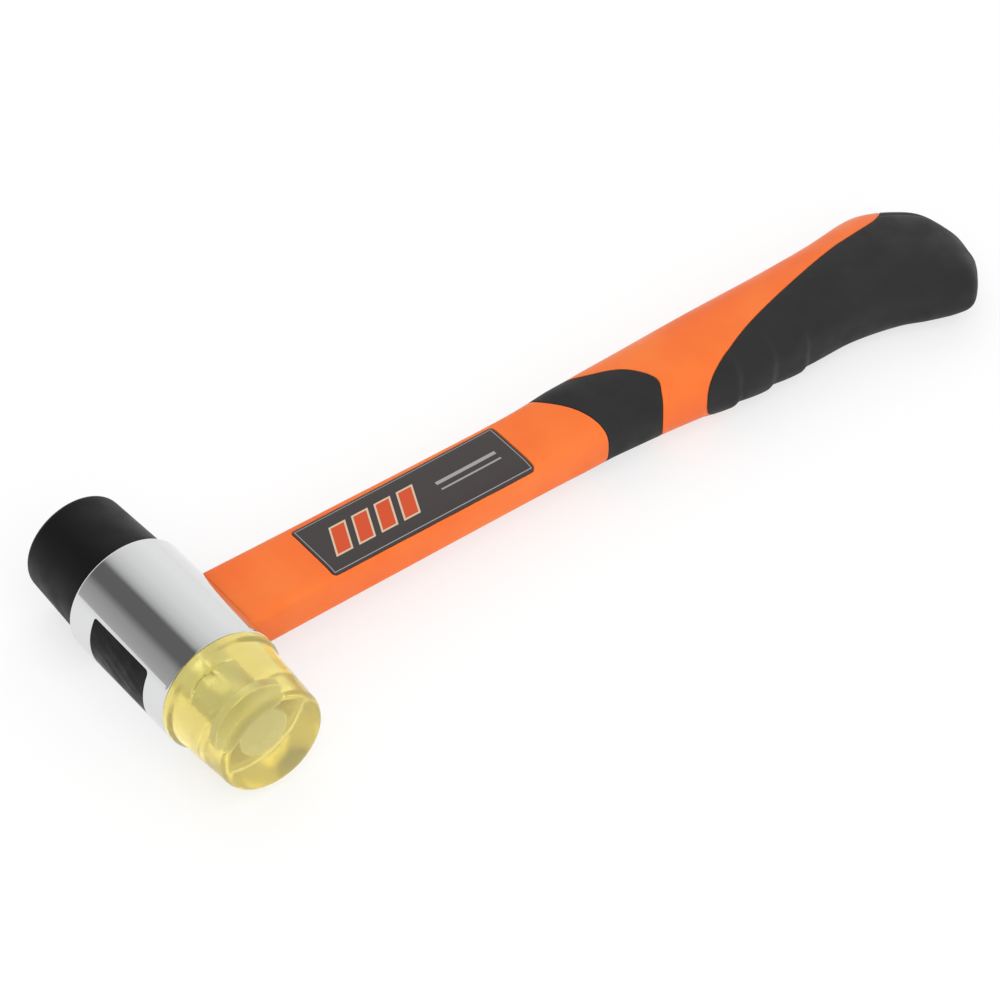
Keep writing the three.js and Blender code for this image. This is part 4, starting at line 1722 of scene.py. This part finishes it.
@dataclass
class Head:
    """The chromed barrel with its eye, and the resin that fills the eye.

    Attributes:
        radius: barrel radius.
        length: barrel length.
        rim: rounding of the barrel's rims.
        eye_width: width of the eye along the head axis.
        eye_height: height of the eye.
        eye_corner: corner radius of the eye.
        eye_bevel: bevel round the eye's mouths.
        socket_radius: radius of the threaded sockets.
        socket_floor: distance of a socket's floor from the middle.
        plug_gap: gap between resin and eye.
        plug_recess: how far the resin lies below the barrel's surface.
        core_width: width of the hole for the core.
        core_thickness: thickness of that hole.
        core_depth: how far the core reaches towards the eye's front mouth.
        segments: faces round the barrel.
    """

    radius: float = BARREL_RADIUS
    length: float = 44.3
    rim: float = 1.2
    eye_width: float = 25.0
    eye_height: float = 17.4
    eye_corner: float = 1.0
    eye_bevel: float = 0.7
    socket_radius: float = 5.3
    socket_floor: float = 13.75
    plug_gap: float = 0.1
    plug_recess: float = 0.4
    core_width: float = CORE_BORE_WIDTH
    core_thickness: float = CORE_BORE_THICKNESS
    core_depth: float = 12.3
    segments: int = 320

    def surface_x(self, z: np.ndarray, drop: float) -> np.ndarray:
        """How far the barrel's surface, lowered by a drop, lies from the axis at a height."""
        return np.sqrt(np.maximum((self.radius - drop) ** 2 - z**2, 0.0))

    def barrel_profile(self) -> np.ndarray:
        """Profile of the barrel with its two sockets.

        Returns:
            The profile's points.
        """
        end = self.length / 2
        half = [
            (self.socket_radius, self.socket_floor, 0.3),
            (self.socket_radius, end, 0.5),
            (self.radius, end, self.rim),
        ]
        near = [(radius, -height, rounding) for radius, height, rounding in half]
        far = half[::-1]
        return rounded_profile([(0, -self.socket_floor, 0), *near, *far, (0, self.socket_floor, 0)])

    def eye_cutter(self) -> Draft:
        """The eye as a solid that widens where it meets the barrel's surface.

        Returns:
            The closed surface.
        """
        outline = rounded_rectangle(self.eye_width, self.eye_height, self.eye_corner, 8)
        steep = math.radians(64)
        turns = np.linspace(steep, 0, EDGE_STEPS)
        depths = [self.eye_bevel * (1 - math.sin(turn)) for turn in turns]
        growths = [self.eye_bevel * (1 - math.cos(turn)) for turn in turns]
        outside = 0.4
        depths.insert(0, depths[0] - outside)
        growths.insert(0, growths[0] + outside * math.tan(steep))
        rings = []
        for side in (-1.0, 1.0):
            mouth = []
            for depth, growth in zip(depths, growths):
                plan = self.grown(outline, growth)
                x = self.surface_x(plan[:, 1], 0.0) - depth
                mouth.append(np.column_stack([side * x, plan]))
            rings.extend(mouth if side < 0 else mouth[::-1])
        draft = Draft()
        numbers = draft.tube(rings)
        draft.fan(numbers[0], (-self.radius - 4.0, 0, 0))
        draft.fan(numbers[-1], (self.radius + 4.0, 0, 0))
        return draft

    def grown(self, outline: np.ndarray, growth: float) -> np.ndarray:
        """An outline of the eye grown on every side.

        Args:
            outline: the outline.
            growth: how far it grows.

        Returns:
            The grown outline.
        """
        reach = np.array([self.eye_width / 2, self.eye_height / 2]) - self.eye_corner
        core = np.clip(outline, -reach, reach)
        way = outline - core
        return core + way * (1 + growth / self.eye_corner)

    def build_barrel(self) -> bpy.types.Object:
        """Builds the barrel and cuts the eye through it.

        Returns:
            The new object.
        """
        body = turned(self.barrel_profile(), self.segments)
        barrel = new_object(body.mesh("chrome_barrel", 30.0), "chrome_barrel")
        cutter = new_object(self.eye_cutter().mesh("eye_cutter", 30.0, EYE_OFFSET), "eye_cutter")
        cut = barrel.modifiers.new("eye", "BOOLEAN")
        cut.operation = "DIFFERENCE"
        cut.solver = "EXACT"
        cut.object = cutter
        shaped = barrel.evaluated_get(bpy.context.evaluated_depsgraph_get())
        mesh = bpy.data.meshes.new_from_object(shaped)
        barrel.modifiers.clear()
        barrel.data = mesh
        bpy.data.objects.remove(cutter)
        smooth(mesh, 18.0)
        return barrel

    def build_plug(self) -> bpy.types.Object:
        """Builds the resin plug with an uneven face that climbs a little at the eye's walls.

        Returns:
            The new object.
        """
        width, height = self.eye_width - 2 * self.plug_gap, self.eye_height - 2 * self.plug_gap
        outline = rounded_rectangle(width, height, self.eye_corner - self.plug_gap, 8)
        rings = []
        for share in (*np.linspace(0.04, 0.88, 14), 0.92, 0.95, 0.975, 1.0):
            plan = outline * share
            x = -self.surface_x(plan[:, 1], self.plug_recess) - self.unevenness(plan, share)
            rings.append(np.column_stack([x, plan]))
        far_x = self.surface_x(outline[:, 1], self.plug_recess)
        rings.append(np.column_stack([far_x, outline]))
        bore = outline * np.array([self.core_width / width, self.core_thickness / height])
        rings.append(np.column_stack([self.surface_x(bore[:, 1], self.plug_recess), bore]))
        rings.append(np.column_stack([np.full(len(bore), -self.core_depth), bore]))
        draft = Draft()
        numbers = draft.tube(rings)
        draft.fan(numbers[0], (-self.radius + self.plug_recess, 0, 0))
        draft.fan(numbers[-1], (-self.core_depth, 0, 0))
        return new_object(draft.mesh("eye_resin", 50.0, EYE_OFFSET), "eye_resin")

    @staticmethod
    def unevenness(plan: np.ndarray, share: float) -> np.ndarray:
        """Small waves of the cast face, with a rim that climbs at the walls.

        Args:
            plan: points of the face.
            share: how near the wall they lie, from 0 to 1.

        Returns:
            The heights.
        """
        y, z = plan[:, 0], plan[:, 1]
        waves = 0.05 * np.sin(0.9 * y + 0.7 * np.sin(1.1 * z)) + 0.04 * np.sin(1.7 * z - 0.6 * y)
        return waves * (1 - share**6) + 0.12 * share**14

    def dress(self) -> None:
        """Builds the barrel and the plug and dresses them."""
        add_piece(self.build_barrel(), CHROME, Body.MALLET, "head_barrel")
        add_piece(self.build_plug(), RESIN, Body.MALLET, "eye_plug")


@dataclass
class Tip:
    """A striking tip moulded over its headed stud.

    Attributes:
        name: the tip's name.
        end: which way it points.
        side: corners of its outside, from its seat to its flat end.
        finish: the tip's finish.
        face_body: body that the tip rides on.
        stud_body: body that the stud rides on.
        seat: distance of the tip's seat from the head's middle.
        thread_radius: outer radius of the stud's thread.
        thread_root: inner radius of the thread.
        thread_pitch: rise of the thread in one turn.
        thread_end: distance of the stud's end from the head's middle.
        thread_lead: length of the tapered lead at the thread's end.
        thread_steps: rings in one turn of the thread.
        thread_segments: faces round the stud.
        head_radius: radius of the stud's head.
        head_height: height of the stud's head.
        depth: how deep the stud reaches into the tip.
        bond: how far the plastic closes onto the stud.
        segments: faces round the axis.
    """

    name: str
    end: End
    side: Sequence[Corner]
    finish: Finish
    face_body: Body
    stud_body: Body
    seat: float = 22.25
    thread_radius: float = 5.0
    thread_root: float = 4.25
    thread_pitch: float = 1.5
    thread_end: float = 14.25
    thread_lead: float = 1.2
    thread_steps: int = 10
    thread_segments: int = 96
    head_radius: float = 7.4
    head_height: float = 3.0
    depth: float = 14.7
    bond: float = 0.02
    segments: int = 192

    def build_body(self) -> bpy.types.Object:
        """Builds the tip, closed onto its stud.

        Returns:
            The new object.
        """
        top, neck = self.depth - self.bond, self.depth - self.head_height + self.bond
        chamber = [
            (0.0, top, 0.0),
            (self.head_radius - self.bond, top, 0.25),
            (self.head_radius - self.bond, neck, 0.25),
            (self.thread_radius - self.bond, neck, 0.0),
            (self.thread_radius - self.bond, 0.0, 0.2),
        ]
        length = self.side[-1][1]
        profile = rounded_profile([*chamber, *self.side, (0.0, length, 0.0)], steps=10)
        profile[:, 1] += self.seat
        mesh = turned(profile, self.segments, self.end).mesh(f"{self.name}_body", 30.0)
        return new_object(mesh, f"{self.name}_body")

    def build_stud(self) -> bpy.types.Object:
        """Builds the stud with a real thread below its plain shank.

        Returns:
            The new object.
        """
        turn = np.arange(self.thread_segments) / self.thread_segments * FULL_TURN
        heights = np.arange(self.thread_end, self.seat + 0.5, self.thread_pitch / self.thread_steps)
        rings = []
        for height in heights:
            phase = np.mod(height / self.thread_pitch - self.end.value * turn / FULL_TURN, 1.0)
            ridge = 1 - np.abs(2 * phase - 1)
            lead = np.clip((height - self.thread_end) / self.thread_lead, 0.0, 1.0)
            crest = lerp(self.thread_root - 0.5, self.thread_radius, lead)
            radius = np.minimum(self.thread_root + (self.thread_radius - self.thread_root) * ridge, crest)
            rings.append(self.circle(radius, height, turn))
        shoulder = self.seat + self.depth - self.head_height
        crown = self.seat + self.depth
        bevel = 0.25
        plain = [
            (self.thread_radius, self.seat + 0.7),
            (self.thread_radius, shoulder),
            (self.head_radius - bevel, shoulder),
            (self.head_radius, shoulder + bevel),
            (self.head_radius, crown - bevel),
            (self.head_radius - bevel, crown),
            (self.head_radius * 0.5, crown),
        ]
        rings.extend(self.circle(np.full(len(turn), radius), height, turn) for radius, height in plain)
        draft = Draft()
        numbers = draft.tube(rings)
        draft.fan(numbers[0], (0, self.thread_end * self.end.value, 0))
        draft.fan(numbers[-1], (0, crown * self.end.value, 0))
        return new_object(draft.mesh(f"{self.name}_bolt", 30.0), f"{self.name}_bolt")

    def circle(self, radius: np.ndarray, height: float, turn: np.ndarray) -> np.ndarray:
        """A ring of points round the head axis."""
        level = np.full(len(turn), height * self.end.value)
        return np.column_stack([radius * np.cos(turn), level, radius * np.sin(turn)])

    def dress(self) -> None:
        """Builds the tip and its stud and dresses them."""
        add_piece(self.build_stud(), STEEL, self.stud_body, f"{self.name}_stud")
        add_piece(self.build_body(), self.finish, self.face_body, self.name)


CLEAR_TIP_SIDE: tuple[Corner, ...] = (
    (18.3, 0.0, 0.25),
    (18.3, 2.0, 0.6),
    (17.3, 3.2, 0.8),
    (15.8, 25.4, 2.4),
)
RUBBER_TIP_SIDE: tuple[Corner, ...] = (
    (16.85, 0.0, 0.3),
    (15.6, 25.4, 1.8),
)


# Greys that the polished barrel mirrors, as place along the card and brightness, from overhead to the floor
FLAG_GREYS: tuple[tuple[float, float], ...] = (
    (0.0, 1.0), (0.26, 0.85), (0.39, 0.68), (0.46, 0.485),
    (0.51, 0.145), (0.70, 0.145), (0.80, 0.365), (1.0, 0.485),
)


@dataclass
class Studio:
    """Floor, lights and camera.

    Attributes:
        eye: camera place in the row frame, in metres.
        aim: point that the camera looks at.
        roll: turn of the camera about its view, in degrees.
        lens: focal length for a 36 mm sensor.
        ambient: strength of the even light from all round.
        backdrop: brightness of the background that the camera, metal and glass see.
        key_power: power of the large soft light at the near side, in watts.
        fill_power: power of the soft light at the far side, in watts.
        floor_glow: share of the floor's white that no shadow falls on.
        key_place: where the near light hangs, in metres.
        key_size: its side, in metres.
        fill_place: where the far light hangs.
        fill_size: its side.
    """

    eye: tuple[float, float, float] = (-0.546744, -0.716828, 0.891710)
    aim: tuple[float, float, float] = (-0.025887, -0.010490, 0.015878)
    roll: float = -1.5488
    lens: float = 161.531
    ambient: float = 0.68
    backdrop: float = 1.0
    key_power: float = 10.0
    fill_power: float = 3.0
    floor_glow: float = 0.68
    key_place: tuple[float, float, float] = (-0.35, -0.9, 1.1)
    key_size: float = 1.3
    fill_place: tuple[float, float, float] = (0.5, 0.7, 1.2)
    fill_size: float = 1.2

    def build(self) -> None:
        """Sets up the whole studio."""
        bpy.context.scene.view_settings.view_transform = "Standard"
        self.world()
        self.floor()
        self.flag()
        self.lamp("key_light", self.key_place, self.key_size, self.key_power)
        self.lamp("fill_light", self.fill_place, self.fill_size, self.fill_power)
        self.camera()

    def world(self) -> None:
        """Even light from all round, with a white backdrop where it is seen or mirrored."""
        world = bpy.data.worlds.new("studio")
        bpy.context.scene.world = world
        world.use_nodes = True
        wiring = Wiring(world.node_tree)
        lift = wiring.math("MULTIPLY", self.seen(wiring), self.backdrop - self.ambient)
        strength = wiring.math("ADD", self.ambient, lift)
        wiring.join(strength, world.node_tree.nodes["Background"].inputs["Strength"])
        world.node_tree.nodes["Background"].inputs["Color"].default_value = (1.0, 1.0, 1.0, 1.0)

    @staticmethod
    def seen(wiring: Wiring) -> bpy.types.NodeSocket:
        """A mask that is 1 for what is seen directly, in metal or through clear plastic.

        Args:
            wiring: the tree that the mask goes into.

        Returns:
            The mask.
        """
        path = wiring.add("LightPath")
        seen = wiring.math("MAXIMUM", path.outputs["Is Camera Ray"], path.outputs["Is Glossy Ray"])
        return wiring.math("MAXIMUM", seen, path.outputs["Is Transmission Ray"])

    def floor(self) -> None:
        """A pale floor that fades into the white backdrop and keeps a soft shadow."""
        mesh = bpy.data.meshes.new("floor")
        reach = 30.0
        corners = [(-reach, -reach, 0), (reach, -reach, 0), (reach, reach, 0), (-reach, reach, 0)]
        mesh.from_pydata(corners, [], [(0, 1, 2, 3)])
        floor = new_object(mesh, "floor")
        paint = Paint("pale_floor")
        paint.set(Base_Color=(1.0, 1.0, 1.0, 1.0), Roughness=0.9, Specular_IOR_Level=0.05)
        white = paint.add("Emission")
        blend = paint.add("MixShader")
        paint.join(paint.math("MULTIPLY", self.seen(paint), self.floor_glow), blend.inputs[0])
        paint.join(paint.shader.outputs[0], blend.inputs[1])
        paint.join(white.outputs[0], blend.inputs[2])
        paint.join(blend.outputs[0], paint.tree.nodes["Material Output"].inputs["Surface"])
        mesh.materials.append(paint.material)

    def flag(self) -> None:
        """A curved grey card beside the head that only polished surfaces mirror."""
        reach, half_length, steps = 0.7, 1.6, 64
        start, stop = math.radians(-60.0), math.radians(86.0)
        points = []
        for i in range(steps + 1):
            turn = lerp(start, stop, i / steps)
            x = LIE.head[0] - reach * math.sin(turn)
            z = LIE.head[2] + reach * math.cos(turn)
            points.extend([(x, -half_length, z), (x, half_length, z)])
        faces = [(2 * i, 2 * i + 1, 2 * i + 3, 2 * i + 2) for i in range(steps)]
        mesh = bpy.data.meshes.new("flag_card")
        mesh.from_pydata(points, [], faces)
        layer = mesh.uv_layers.new(name="sweep")
        for loop in mesh.loops:
            layer.data[loop.index].uv = (loop.vertex_index // 2 / steps, loop.vertex_index % 2)
        card = new_object(mesh, "flag_card")
        card.visible_camera = False
        card.visible_diffuse = False
        card.visible_transmission = False
        card.visible_shadow = False
        mesh.materials.append(self.flag_paint())

    @staticmethod
    def flag_paint() -> bpy.types.Material:
        """The card's greys, from light overhead through dark to middle grey near the floor.

        Returns:
            The material.
        """
        paint = Paint("flag_greys")
        ramp = paint.add("ValToRGB")
        elements = ramp.color_ramp.elements
        while len(elements) < len(FLAG_GREYS):
            elements.new(0.5)
        for element, (place, grey) in zip(elements, FLAG_GREYS):
            element.position = place
            element.color = (grey, grey, grey, 1.0)
        split = paint.add("SeparateXYZ")
        paint.join(paint.add("TexCoord").outputs["UV"], split.inputs[0])
        paint.join(split.outputs["X"], ramp.inputs["Fac"])
        glow = paint.add("Emission")
        paint.join(ramp.outputs["Color"], glow.inputs["Color"])
        paint.join(glow.outputs[0], paint.tree.nodes["Material Output"].inputs["Surface"])
        paint.tree.nodes.remove(paint.shader)
        return paint.material

    def lamp(self, name: str, place: tuple[float, float, float], size: float, power: float) -> None:
        """A square soft light that points at the object.

        Args:
            name: the lamp's name.
            place: where it hangs, in metres.
            size: its side.
            power: its power, in watts.
        """
        light = bpy.data.lights.new(name, "AREA")
        light.size = size
        light.energy = power
        lamp = bpy.data.objects.new(name, light)
        bpy.context.scene.collection.objects.link(lamp)
        lamp.location = place
        lamp.rotation_euler = (-Vector(place)).to_track_quat("-Z", "Y").to_euler()
        lamp.visible_glossy = False

    def camera(self) -> None:
        """The camera at the photograph's viewing angle."""
        data = bpy.data.cameras.new("camera")
        data.lens = self.lens
        data.sensor_width = 36.0
        data.clip_start = 0.05
        data.clip_end = 100.0
        camera = bpy.data.objects.new("camera", data)
        bpy.context.scene.collection.objects.link(camera)
        look = (Vector(self.aim) - Vector(self.eye)).to_track_quat("-Z", "Y").to_matrix().to_4x4()
        roll = Matrix.Rotation(math.radians(self.roll), 4, "Z")
        camera.matrix_world = Matrix.Translation(self.eye) @ look @ roll
        bpy.context.scene.camera = camera


def main() -> None:
    """Builds the mallet piece by piece, then the studio."""
    logging.basicConfig(level=logging.INFO, format="%(name)s: %(message)s")
    Handle().dress()
    Head().dress()
    Tip("clear_tip", End.NEAR, CLEAR_TIP_SIDE, CLEAR, Body.CLEAR_FACE, Body.CLEAR_STUD).dress()
    Tip("rubber_tip", End.FAR, RUBBER_TIP_SIDE, TIP_RUBBER, Body.RUBBER_FACE, Body.RUBBER_STUD).dress()
    Studio().build()


if __name__ == "__main__":
    main()
